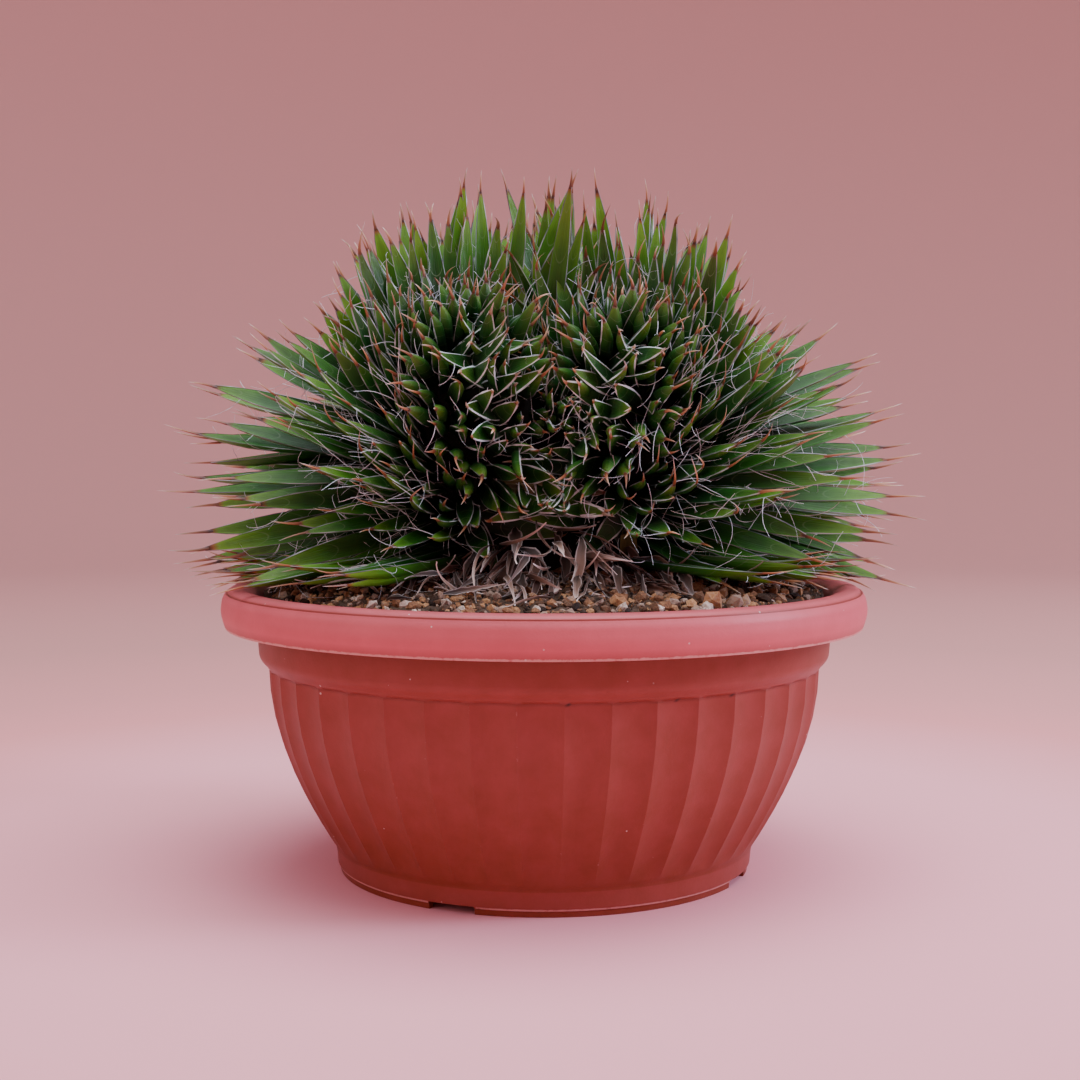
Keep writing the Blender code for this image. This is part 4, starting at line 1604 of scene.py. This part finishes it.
@dataclass
class DriedFringe:
    """The dead leaves that hang under the front of the crest: thin, curled and rooted at the stem."""

    growth: CrestGrowth
    seed: int = 41
    count: int = 104
    spread: float = math.radians(38.0)
    length: Span = (0.013, 0.034)
    narrow: Span = (0.0012, 0.0034)
    broad: Span = (0.0034, 0.0068)
    broad_share: float = 0.42
    stem_out: Span = (0.002, 0.034)
    litter: int = 40
    litter_radius: Span = (0.056, 0.100)
    litter_length: Span = (0.008, 0.024)
    litter_width: Span = (0.0008, 0.0034)
    stations: int = 10
    cup: float = 0.35
    thinnest: float = 0.00016
    thickness: float = 0.00028
    sag: float = -0.05

    def build(self, finish: bpy.types.Material) -> None:
        """Make the fringe as one piece.

        Args:
            finish: its material.
        """
        rng = random.Random(self.seed)
        batch = Batch()
        for _ in range(self.count):
            self.add_leaf(batch, rng)
        for _ in range(self.litter):
            self.add_litter(batch, rng)
        batch.piece("dried_fringe", finish, Node.DRIED, Slot.DRIED, 32.0)

    def add_leaf(self, batch: Batch, rng: random.Random) -> None:
        """Add one dead leaf that is still on the stem: it hangs out and down over the soil.

        Args:
            batch: the piece that it goes into.
            rng: the random draws.
        """
        growth = self.growth
        angle = clamp(rng.gauss(0.0, 0.6) * self.spread, -self.spread, self.spread)
        low = growth.soil.level(*around(angle, 0.05, 0.0).xy) + 0.003
        out = rng.uniform(*self.stem_out)
        height = max(low, rng.uniform(low, growth.fringe_top(angle) + 0.004) - 0.3 * out)
        root = around(angle, growth.soil.stem_radius(angle) + out, height)
        heading = around(angle + rng.gauss(0.0, 0.45), 1.0, rng.uniform(-1.1, 0.10)).normalized()
        turns = (rng.uniform(-90.0, 60.0), rng.uniform(-110.0, 110.0))
        width = rng.uniform(*(self.broad if rng.random() < self.broad_share else self.narrow))
        self.add_strip(batch, rng, root, heading, (rng.uniform(*self.length), width), turns)

    def add_litter(self, batch: Batch, rng: random.Random) -> None:
        """Add one shed, curled strip that lies on the soil in front of the stem.

        Args:
            batch: the piece that it goes into.
            rng: the random draws.
        """
        angle = math.radians(rng.choice((rng.gauss(-30.0, 12.0), rng.gauss(5.0, 28.0))))
        root = around(angle, rng.uniform(*self.litter_radius), 0.0)
        root.z = self.growth.soil.level(root.x, root.y) + rng.uniform(0.002, 0.006)
        heading = around(rng.uniform(0.0, 6.28), 1.0, rng.uniform(0.0, 0.35)).normalized()
        turns = (rng.uniform(-110.0, 110.0), rng.uniform(-60.0, 60.0))
        size = (rng.uniform(*self.litter_length), rng.uniform(*self.litter_width))
        self.add_strip(batch, rng, root, heading, size, turns)

    def add_strip(
        self, batch: Batch, rng: random.Random, root: Vector, heading: Vector, size: Span, turns: Span
    ) -> None:
        """Add a thin dead channel of leaf that curls and twists along its length.

        Args:
            batch: the piece that it goes into.
            rng: the random draws.
            root: where it starts.
            heading: the way that it starts.
            size: its length and width.
            turns: how fast it curls and twists, in radians a metre.
        """
        (length, width), (curl, twist) = size, turns
        face = square_to(UP + scatter(rng, 0.6), heading)
        step = length / self.stations
        thick = min(self.thickness, 0.3 * width)
        tone = rng.random()
        at = root.copy()
        rings, places = [], []
        for k in range(self.stations + 1):
            part = k / self.stations
            side = heading.cross(face).normalized()
            half = 0.5 * width * (0.22 + 0.78 * ease(3.2 * part)) * (1.0 - part ** 1.5)
            half = max(half, self.thinnest)
            cup = self.cup * half
            corners = ((-1.0, cup), (0.0, -0.2 * cup), (1.0, cup), (0.0, -0.2 * cup - thick))
            rings.append([
                at + side * (half * across * rng.uniform(0.65, 1.2)) + face * rise for across, rise in corners
            ])
            places += [(part, across, tone) for across, _rise in corners]
            at = at + heading * step
            at.z = max(at.z, self.growth.ground(at.x, at.y, False) + 0.0006)
            bend = Matrix.Rotation(curl * step, 3, side)
            heading = (bend @ heading + UP * self.sag).normalized()
            face = square_to(Matrix.Rotation(twist * step, 3, heading) @ (bend @ face), heading)
        batch.add_tube(rings, places, caps=1)


# The soil


@dataclass
class GritSoil:
    """The soil: a rough bed with loose grains of pumice and gravel over it."""

    shape: SoilShape
    seed: int = 61
    rings: int = 52
    spokes: int = 330
    # The bed is drawn darker than the grains: the fine soil's own tone, with painted shade of the hollows
    # between the grains
    bed_tone_and_hollow_shade: float = 0.19
    bed_foot: float = 0.095
    # The bed's lumps, each with its size and its height in millimetres
    rough_mm: tuple[Span, ...] = ((1.4, 1.3), (3.8, 1.4), (11.0, 1.2))
    grains: int = 8600
    grain_mm: Span = (0.8, 6.2)
    grain_rarity: float = 3.4
    tone: Span = (0.38, 0.28)
    tone_by_size: float = 24.0
    # The right side is coarser and a little paler
    coarse_mm: float = 1.1
    coarse_tone: float = 0.07
    # Larger stones at the right front: place, size and tone
    pebbles: tuple[tuple[float, float, float, float], ...] = (
        (0.0378, -0.0975, 0.0050, 1.0), (0.0580, -0.0830, 0.0085, 0.62), (0.0500, -0.0870, 0.0055, 0.60),
        (0.0655, -0.0800, 0.0062, 0.74), (0.0440, -0.0870, 0.0050, 0.80), (0.0700, -0.0760, 0.0060, 0.70),
    )

    def bed(self, finish: bpy.types.Material) -> None:
        """Make the rough bed under the loose grains, closed down to the pot's floor.

        Args:
            finish: its material.
        """
        outer = self.shape.pot.mouth() - 0.0008
        loops = [circle(outer - 0.0006, self.bed_foot, self.spokes)]
        for k in range(self.rings + 1):
            loop = []
            for i in range(self.spokes):
                angle = FULL_TURN * i / self.spokes
                inner = self.shape.stem_radius(angle) - 0.002
                point = around(angle, outer + (inner - outer) * k / self.rings, 0.0)
                rough = sum(noise.noise(point * (1000.0 / size)) * rise for size, rise in self.rough_mm)
                point.z = self.shape.level(point.x, point.y) + 0.001 * rough - 0.0002
                loop.append(point)
            loops.append(loop)
        batch = Batch()
        # Painted shade of the hollows, with the fine soil's tone
        batch.add_tube(loops, [(0.0, 0.0, self.bed_tone_and_hollow_shade)] * len(loops))
        batch.piece("soil_bed", finish, Node.SOIL, Slot.SOIL, 50.0)

    def add_grain(self, rng: random.Random, batch: Batch, centre: Vector, size: float, tone: float) -> None:
        """Add one angular grain: a small lump with its corners moved about.

        Args:
            rng: the random draws.
            batch: the piece that it goes into.
            centre: its middle.
            size: how far it is across.
            tone: its tone, 0 to 1.
        """
        spin = Matrix.Rotation(rng.uniform(0.0, 6.28), 3, random_direction(rng))
        stretch = Vector((rng.uniform(0.75, 1.25), rng.uniform(0.7, 1.1), rng.uniform(0.55, 0.95)))
        start = len(batch.points)
        for point in GRAIN_POINTS:
            corner = Vector(point) / math.hypot(1.0, GOLDEN)
            corner *= rng.uniform(0.66, 1.20)
            corner = Vector([corner[i] * stretch[i] for i in range(3)])
            batch.points.append(centre + (spin @ corner) * (0.5 * size))
            batch.place.append((0.0, 0.0, tone))
        batch.faces.extend(tuple(start + i for i in face) for face in GRAIN_FACES)

    def loose(self, finish: bpy.types.Material) -> None:
        """Make the loose grains, mostly small, thrown over the bed and sunk a little into it.

        Args:
            finish: their material.
        """
        rng = random.Random(self.seed)
        batch = Batch()
        level = self.shape.level
        outer = self.shape.pot.mouth() - 0.0016
        for _ in range(self.grains):
            angle = rng.uniform(0.0, FULL_TURN)
            inner = self.shape.stem_radius(angle)
            coarse = ease(1.6 * math.sin(angle))
            small, large = self.grain_mm
            large -= (1.0 - coarse) * self.coarse_mm
            size = 0.001 * (small + (large - small) * rng.random() ** self.grain_rarity)
            reach = outer - 0.5 * size
            point = around(angle, math.sqrt(rng.uniform(inner * inner, reach * reach)), 0.0)
            point.z = level(point.x, point.y) + rng.uniform(-0.1, 0.22) * size
            tone = rng.gauss(self.tone[0] + self.coarse_tone * coarse, self.tone[1])
            tone = clamp(tone + self.tone_by_size * (size - 0.002))
            self.add_grain(rng, batch, point, size, tone)
        for x, y, size, tone in self.pebbles:
            self.add_grain(rng, batch, Vector((x, y, level(x, y) + 0.25 * size)), size, tone)
        batch.piece("soil_grains", finish, Node.SOIL, Slot.SOIL, None)


# A grain starts as an icosahedron, whose corners lie on three golden rectangles
GOLDEN = 0.5 * (1.0 + math.sqrt(5.0))
GRAIN_POINTS = (
    (-1.0, GOLDEN, 0.0), (1.0, GOLDEN, 0.0), (-1.0, -GOLDEN, 0.0), (1.0, -GOLDEN, 0.0),
    (0.0, -1.0, GOLDEN), (0.0, 1.0, GOLDEN), (0.0, -1.0, -GOLDEN), (0.0, 1.0, -GOLDEN),
    (GOLDEN, 0.0, -1.0), (GOLDEN, 0.0, 1.0), (-GOLDEN, 0.0, -1.0), (-GOLDEN, 0.0, 1.0),
)
GRAIN_FACES = (
    (0, 11, 5), (0, 5, 1), (0, 1, 7), (0, 7, 10), (0, 10, 11), (1, 5, 9), (5, 11, 4), (11, 10, 2),
    (10, 7, 6), (7, 1, 8), (3, 9, 4), (3, 4, 2), (3, 2, 6), (3, 6, 8), (3, 8, 9), (4, 9, 5),
    (2, 4, 11), (6, 2, 10), (8, 6, 7), (9, 8, 1),
)


# The pot


class Corner(NamedTuple):
    """A corner of the bowl's section."""

    radius: float
    height: float
    flute: float = 0.0
    rounding: float = 0.0
    # Scuffs, and painted highlight lines along sharp edges
    wear: float = 0.0
    # Painted sheen: how much pinker the skin is drawn at this corner
    painted_sheen: float = 0.0


@dataclass
class FlutedBowl:
    """The moulded bowl: rolled rim, band, concave flutes, foot ring with drain notches, drain holes."""

    shape: PotShape
    steps_per_flute: int = 12
    flute_relief: float = 0.0016
    flute_rise: float = 0.0075
    # Pale scuffs along each arris, partly a painted highlight of the arris
    arris_wear: float = 0.3
    wall_heights: tuple[float, ...] = (0.0125, 0.0155, 0.020, 0.026, 0.033, 0.041, 0.050, 0.060, 0.070)
    band_spots: tuple[float, ...] = (math.radians(4.4), math.radians(25.3), math.radians(37.3))
    # Painted shade in the line under the band, between its dirt spots
    band_shade: float = 0.25
    notches: int = 4
    notch_centre: float = math.radians(-24.3)
    notch_width: float = 0.018
    notch_height: float = 0.003
    drain_radius: float = 0.005
    drain_circle: float = 0.048
    drain_ring: int = 4
    sharp_edge: float = math.radians(14.0)

    def corners(self) -> list[Corner]:
        """The section's corners, from the floor's underside over the rim and down inside to the floor.

        Returns:
            The corners.
        """
        pot = self.shape
        foot, rim, top, flute_top = pot.foot_radius, pot.rim_radius, pot.height, pot.flute_top
        inner = foot - pot.foot_width
        section = [
            Corner(inner - 0.0005, pot.floor_underside, 0.0, 0.0004),
            Corner(inner, 0.0, 0.0, 0.0004, 0.2),
            Corner(foot - 0.0004, 0.0, 0.0, 0.0003, 0.45),
            Corner(foot - 0.0003, 0.0021, 0.0, 0.0, 0.1),
            # The foot's ledge: scuffs and a painted highlight line
            Corner(foot + 0.0002, 0.0024, 0.0, 0.0, 1.05, 0.2),
            Corner(foot + 0.0004, 0.0029, 0.0, 0.0, 1.05, 0.2),
            Corner(foot + 0.0006, 0.0032, 0.0, 0.0, 0.1, 0.1),
            Corner(foot + 0.0010, 0.0078, 0.0, 0.0014, 0.1, 0.1),
            Corner(pot.radius_low, pot.foot_height, 0.0, 0.0012),
        ]
        for height in self.wall_heights:
            share = ease((height - pot.foot_height) / self.flute_rise)
            section.append(Corner(pot.body_radius(height), height, share, painted_sheen=0.12 * height / flute_top))
        section += [
            Corner(pot.body_radius(flute_top - 0.001), flute_top - 0.001, 1.0, painted_sheen=0.12),
            Corner(pot.body_radius(flute_top), flute_top, 0.85, painted_sheen=0.1),
            Corner(rim - 0.0172, flute_top + 0.0018, 0.0, 0.0008, 0.1, 0.1),
            Corner(rim - 0.0145, flute_top + 0.0046, 0.0, 0.0022, 0.15, 0.1),
            Corner(rim - 0.0135, top - 0.0100, 0.0, 0.0015),
            Corner(rim - 0.0085, top - 0.0028, 0.0, 0.0020),
            Corner(rim - 0.0028, top - 0.0060, 0.0, 0.0010),
            Corner(rim - 0.0035, top - 0.0150, 0.0, 0.0003),
            # The rim's lip: scuffs and a painted highlight line
            Corner(rim - 0.0025, top - 0.0153, 0.0, 0.0002, 0.4, 0.3),
            Corner(rim - 0.0018, top - 0.0151, 0.0, 0.0, 1.0, 0.4),
            Corner(rim - 0.0016, top - 0.0146, 0.0, 0.0, 1.0, 0.4),
            Corner(rim - 0.0014, top - 0.0140, 0.0, 0.0, 0.2, 0.5),
            Corner(rim, top - 0.0093, 0.0, 0.0038, 0.1, 0.80),
            Corner(rim - 0.0008, top - 0.0042, 0.0, 0.0026, 0.1, 0.75),
            Corner(rim - 0.0020, top - 0.0021, 0.0, 0.0, 0.2, 0.65),
            Corner(rim - 0.0027, top - 0.0023),
            Corner(rim - 0.0029, top - 0.0016, 0.0, 0.0, 0.1, 0.4),
            Corner(rim - 0.0042, top - 0.0006, 0.0, 0.0008, 0.2, 0.6),
            Corner(rim - 0.0085, top, 0.0, 0.0018, 0.2, 0.5),
            Corner(rim - 0.0134, top - 0.0024, 0.0, 0.0018, 0.2, 0.5),
            Corner(rim - 0.0157, top - 0.0080, 0.0, 0.0012, 0.0, 0.3),
            Corner(pot.body_radius(flute_top) - pot.wall, flute_top, 0.0, 0.002),
            Corner(pot.body_radius(0.045) - pot.wall, 0.045, 0.0, 0.004),
            Corner(pot.body_radius(0.020) - pot.wall, 0.020, 0.0, 0.004),
            Corner(inner - 0.0010, pot.floor_top),
        ]
        return section

    def section(self) -> list[Corner]:
        """The section with its corners rounded.

        Returns:
            Its points, with nothing left to round.
        """
        corners = self.corners()
        points = [corners[0]]
        for before, corner, after in zip(corners, corners[1:], corners[2:]):
            if corner.rounding <= 0.0:
                points.append(corner)
                continue
            here = Vector(corner[:2])
            back = Vector(before[:2]) - here
            ahead = Vector(after[:2]) - here
            size = min(corner.rounding, 0.48 * back.length, 0.48 * ahead.length)
            start = here + back.normalized() * size
            end = here + ahead.normalized() * size
            for t in (0.0, 0.25, 0.5, 0.75, 1.0):
                bent = start * (1.0 - t) ** 2 + here * (2.0 * t * (1.0 - t)) + end * t * t
                worn_and_lit = corner.wear * (1.0 - abs(2.0 * t - 1.0) ** 2)
                points.append(corner._replace(radius=bent.x, height=bent.y, wear=worn_and_lit))
        return points + [corners[-1]]

    def dirt_and_shade_at(self, angle: float) -> float:
        """How dark the line under the band is: dirt at its few spots and painted shade all round.

        Args:
            angle: an angle from the front.

        Returns:
            Full at the dirt spots, and the painted shade elsewhere.
        """
        step = math.pi / (self.shape.flutes * self.steps_per_flute)
        gaps = [abs((angle - spot + math.pi) % FULL_TURN - math.pi) for spot in self.band_spots]
        return 1.0 if min(gaps) <= step else self.band_shade

    def cutters(self) -> list[bpy.types.Object]:
        """Make the boxes for the foot's notches and the rods for the drain holes.

        Returns:
            The closed forms that are cut away.
        """
        pot = self.shape
        forms = []
        inner = pot.foot_radius - 2.0 * pot.foot_width
        outer = pot.foot_radius + pot.foot_width
        corners = ((inner, -0.5), (outer, -0.5), (outer, 0.5), (inner, 0.5))
        for i in range(self.notches):
            angle = self.notch_centre + i * FULL_TURN / self.notches
            out = around(angle, 1.0, 0.0)
            side = around(angle + 0.5 * math.pi, 1.0, 0.0)
            forms.append([
                [out * far + side * (across * self.notch_width) + UP * height for far, across in corners]
                for height in (-self.notch_height, self.notch_height)
            ])
        centres = [Vector((0.0, 0.0, 0.0))]
        turn = FULL_TURN / self.drain_ring
        centres += [around((i + 0.5) * turn, self.drain_circle, 0.0) for i in range(self.drain_ring)]
        heights = (pot.floor_underside - 0.002, pot.floor_top + 0.002)
        forms += [
            [[centre + point for point in circle(self.drain_radius, height, 24)] for height in heights]
            for centre in centres
        ]
        made = []
        for rings in forms:
            batch = Batch()
            batch.add_tube(rings, [], caps=2)
            made.append(bpy.data.objects.new("cutter", batch.mesh("cutter", None, True)))
        return made

    def build(self, finish: bpy.types.Material) -> None:
        """Make the bowl as one piece, with its notches and drain holes cut.

        Args:
            finish: its material.
        """
        segments = self.shape.flutes * self.steps_per_flute
        rings, places = [], []
        for corner in self.section():
            ring = []
            # The line under the band: dirt at its spots and painted shade all round
            under_band = abs(corner.height - self.shape.flute_top) < 0.0001
            for k in range(segments):
                angle = self.shape.first_arris + FULL_TURN * k / segments
                part = (k % self.steps_per_flute) / self.steps_per_flute
                dip = corner.flute * self.flute_relief * 4.0 * part * (1.0 - part)
                ring.append(around(angle, corner.radius - dip, corner.height))
                wear = max(corner.wear, self.arris_wear * corner.flute * (part == 0.0))
                # Stored for the material: scuffs with painted edge highlights, the painted sheen, and dirt
                # with painted shade under the band
                places.append((wear, corner.painted_sheen, self.dirt_and_shade_at(angle) if under_band else 0.0))
            rings.append(ring)
        batch = Batch()
        batch.add_tube(rings, places, caps=2)
        made = show("fluted_bowl", batch.mesh("fluted_bowl", finish, True))
        group = bpy.data.collections.new("bowl_cutters")
        bpy.context.scene.collection.children.link(group)
        tools = self.cutters()
        for tool in tools:
            group.objects.link(tool)
        cut = made.modifiers.new("openings", "BOOLEAN")
        cut.operation = "DIFFERENCE"
        cut.operand_type = "COLLECTION"
        cut.collection = group
        cut.solver = "MANIFOLD"
        bpy.context.view_layer.update()
        carved = bpy.data.meshes.new_from_object(made.evaluated_get(bpy.context.evaluated_depsgraph_get()))
        made.modifiers.clear()
        made.data = carved
        carved.materials.clear()
        carved.materials.append(finish)
        for tool in tools:
            bpy.data.objects.remove(tool, do_unlink=True)
        bpy.data.collections.remove(group)
        carved.shade_smooth()
        carved.set_sharp_from_angle(angle=self.sharp_edge)
        settle(made, Node.POT, Slot.POT)


# The stage


class SoftLight(NamedTuple):
    """A square light with a diffuser: its place, what it looks at, its size, power and colour."""

    name: str
    place: Triple
    aim: Triple
    size: float
    power: float
    colour: str


@dataclass
class Studio:
    """The pale stage, the soft lights and the camera at the photo's viewpoint."""

    # The card runs from the pale floor to a darker wall: the darkening is painted shade where less light
    # reaches the backdrop
    floor: str = "#fcb4be"
    middle: str = "#e69997"
    wall: str = "#cc948d"
    flat: float = 1.6
    sweep: float = 1.0
    blend: Span = (0.12, 0.58)
    lights: tuple[SoftLight, ...] = (
        SoftLight("soft_top", (0.25, -0.1, 2.0), (0.0, -0.05, 0.1), 2.0, 56.0, "#f6f3fc"),
        SoftLight("soft_right", (1.5, -0.20, 0.80), (0.0, 0.0, 0.1), 0.5, 21.0, "#dcdeff"),
        SoftLight("soft_left", (-1.7, -1.0, 0.9), (-0.1, 0.0, 0.05), 1.4, 7.5, "#fbf2f2"),
    )
    room: str = "#d8e2ff"
    room_strength: float = 0.75
    camera_place: Triple = (-0.00155, -0.650, 0.1656)
    pitch_down: float = math.radians(3.38)
    focal_px: float = 1661.0
    frame_px: float = 1080.0
    sensor_mm: float = 36.0

    def stage(self) -> None:
        """Make a floor of painted card, matt, that sweeps up into a wall all round, pale on the floor and
        darker up the wall: painted shade where less light reaches the backdrop.
        """
        recipe = Recipe("pale_card")
        stops = ((0.0, self.floor), (0.5, self.middle), (1.0, self.wall))
        finish = recipe.finish(recipe.add("ValToRGB", {"Fac": recipe.along}, stops=stops), 0.95)
        flat, sweep = self.flat, self.sweep
        profile = [(0.0001, 0.0), (0.25, 0.0), (0.5, 0.0), (0.75, 0.0), (flat, 0.0)]
        turns = [math.radians(7.5 * k) for k in range(1, 13)]
        profile += [(flat + sweep * math.sin(a), sweep - sweep * math.cos(a)) for a in turns]
        profile += [(flat + sweep, sweep + 0.8), (flat + sweep, sweep + 1.6)]
        first, width = self.blend
        batch = Batch()
        # Painted shade: the colour darkens from the floor up the wall
        places = [(ease((r + 2.0 * h - first) / width), 0.0, 0.0) for r, h in profile]
        batch.add_tube([circle(r, h, 96) for r, h in profile], places, caps=1)
        mesh = batch.mesh("stage_sweep", finish)
        mesh.shade_smooth()
        show("stage_sweep", mesh)

    def build(self) -> None:
        """Set the stage, the lights, the world and the camera."""
        self.stage()
        for light in self.lights:
            data = bpy.data.lights.new(light.name, "AREA")
            data.shape = "SQUARE"
            data.size = light.size
            data.energy = light.power
            data.color = linear(light.colour)[:3]
            lamp = show(light.name, data)
            lamp.location = light.place
            ahead = Vector(light.aim) - Vector(light.place)
            lamp.rotation_euler = ahead.to_track_quat("-Z", "Y").to_euler()
        world = bpy.data.worlds.new("soft_room")
        bpy.context.scene.world = world
        world.use_nodes = True
        background = world.node_tree.nodes["Background"]
        background.inputs["Color"].default_value = linear(self.room)
        background.inputs["Strength"].default_value = self.room_strength
        data = bpy.data.cameras.new("camera")
        data.sensor_width = self.sensor_mm
        data.lens = self.focal_px / self.frame_px * self.sensor_mm
        camera = show("camera", data)
        camera.location = self.camera_place
        camera.rotation_euler = (math.radians(90.0) - self.pitch_down, 0.0, 0.0)
        bpy.context.scene.camera = camera


# The finishes of this plant, from root to tip
OLD_SKIN = AgaveLeafSkin()
# The young skin, too, is near-black at its root: painted shade between the leaf bases
YOUNG_SKIN = AgaveLeafSkin("#0b150d", "#16381a", "#2a5d1d", "#567f28", "#7c6350", prints=0.5)
# A near-black body under the leaves: painted shade between the leaf bases
PAINTED_SHADE_CORE = DeadTissue(((0.0, "#0d100a"), (1.0, "#0d100a")), 1.0)
MARGIN_HORN = DeadTissue(((0.0, "#566058"), (0.5, "#a2b2b1"), (0.9, "#bdcaca"), (1.0, "#a3968a")), 0.55, 0.80)
SPINE_HORN = DeadTissue(
    ((0.0, "#472515"), (0.12, "#784327"), (0.42, "#a06a44"), (0.74, "#b99a79"), (0.96, "#d9d1c6")), 0.45
)
PEELED_FIBRE = DeadTissue(((0.0, "#bfcacd"), (1.0, "#eef8fc")), 0.6, 0.20)
DRIED_LEAF = DeadTissue(
    ((0.0, "#1b140e"), (0.24, "#3f2f25"), (0.52, "#705b4c"), (0.82, "#a8988d"), (1.0, "#d2c9c3")),
    0.8, 0.70, "#cdc3bc",
)


def main() -> None:
    """Build the whole scene in order."""
    logging.basicConfig(level=logging.INFO, format="%(name)s %(message)s")
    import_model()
    Studio().build()
    pot = PotShape()
    soil = SoilShape(pot)
    growth = CrestGrowth(soil)
    FlutedBowl(pot).build(MouldedPolypropylene().build("moulded_polypropylene"))
    grit = GritSoil(soil)
    grit.bed(LooseGrit().build("soil_fines"))
    grit.loose(LooseGrit().build("soil_grit"))
    crest = CrestPieces(growth, LeafDetail())
    crest.core(PAINTED_SHADE_CORE.build("painted_shade_core"))
    crest.blades(OLD_SKIN.build("agave_skin_old"), YOUNG_SKIN.build("agave_skin_young"))
    crest.margins(MARGIN_HORN.build("margin_horn"))
    crest.spines(SPINE_HORN.build("spine_horn"))
    crest.fibres(PEELED_FIBRE.build("peeled_fibre"))
    DriedFringe(growth).build(DRIED_LEAF.build("dead_leaf"))


if __name__ == "__main__":
    main()
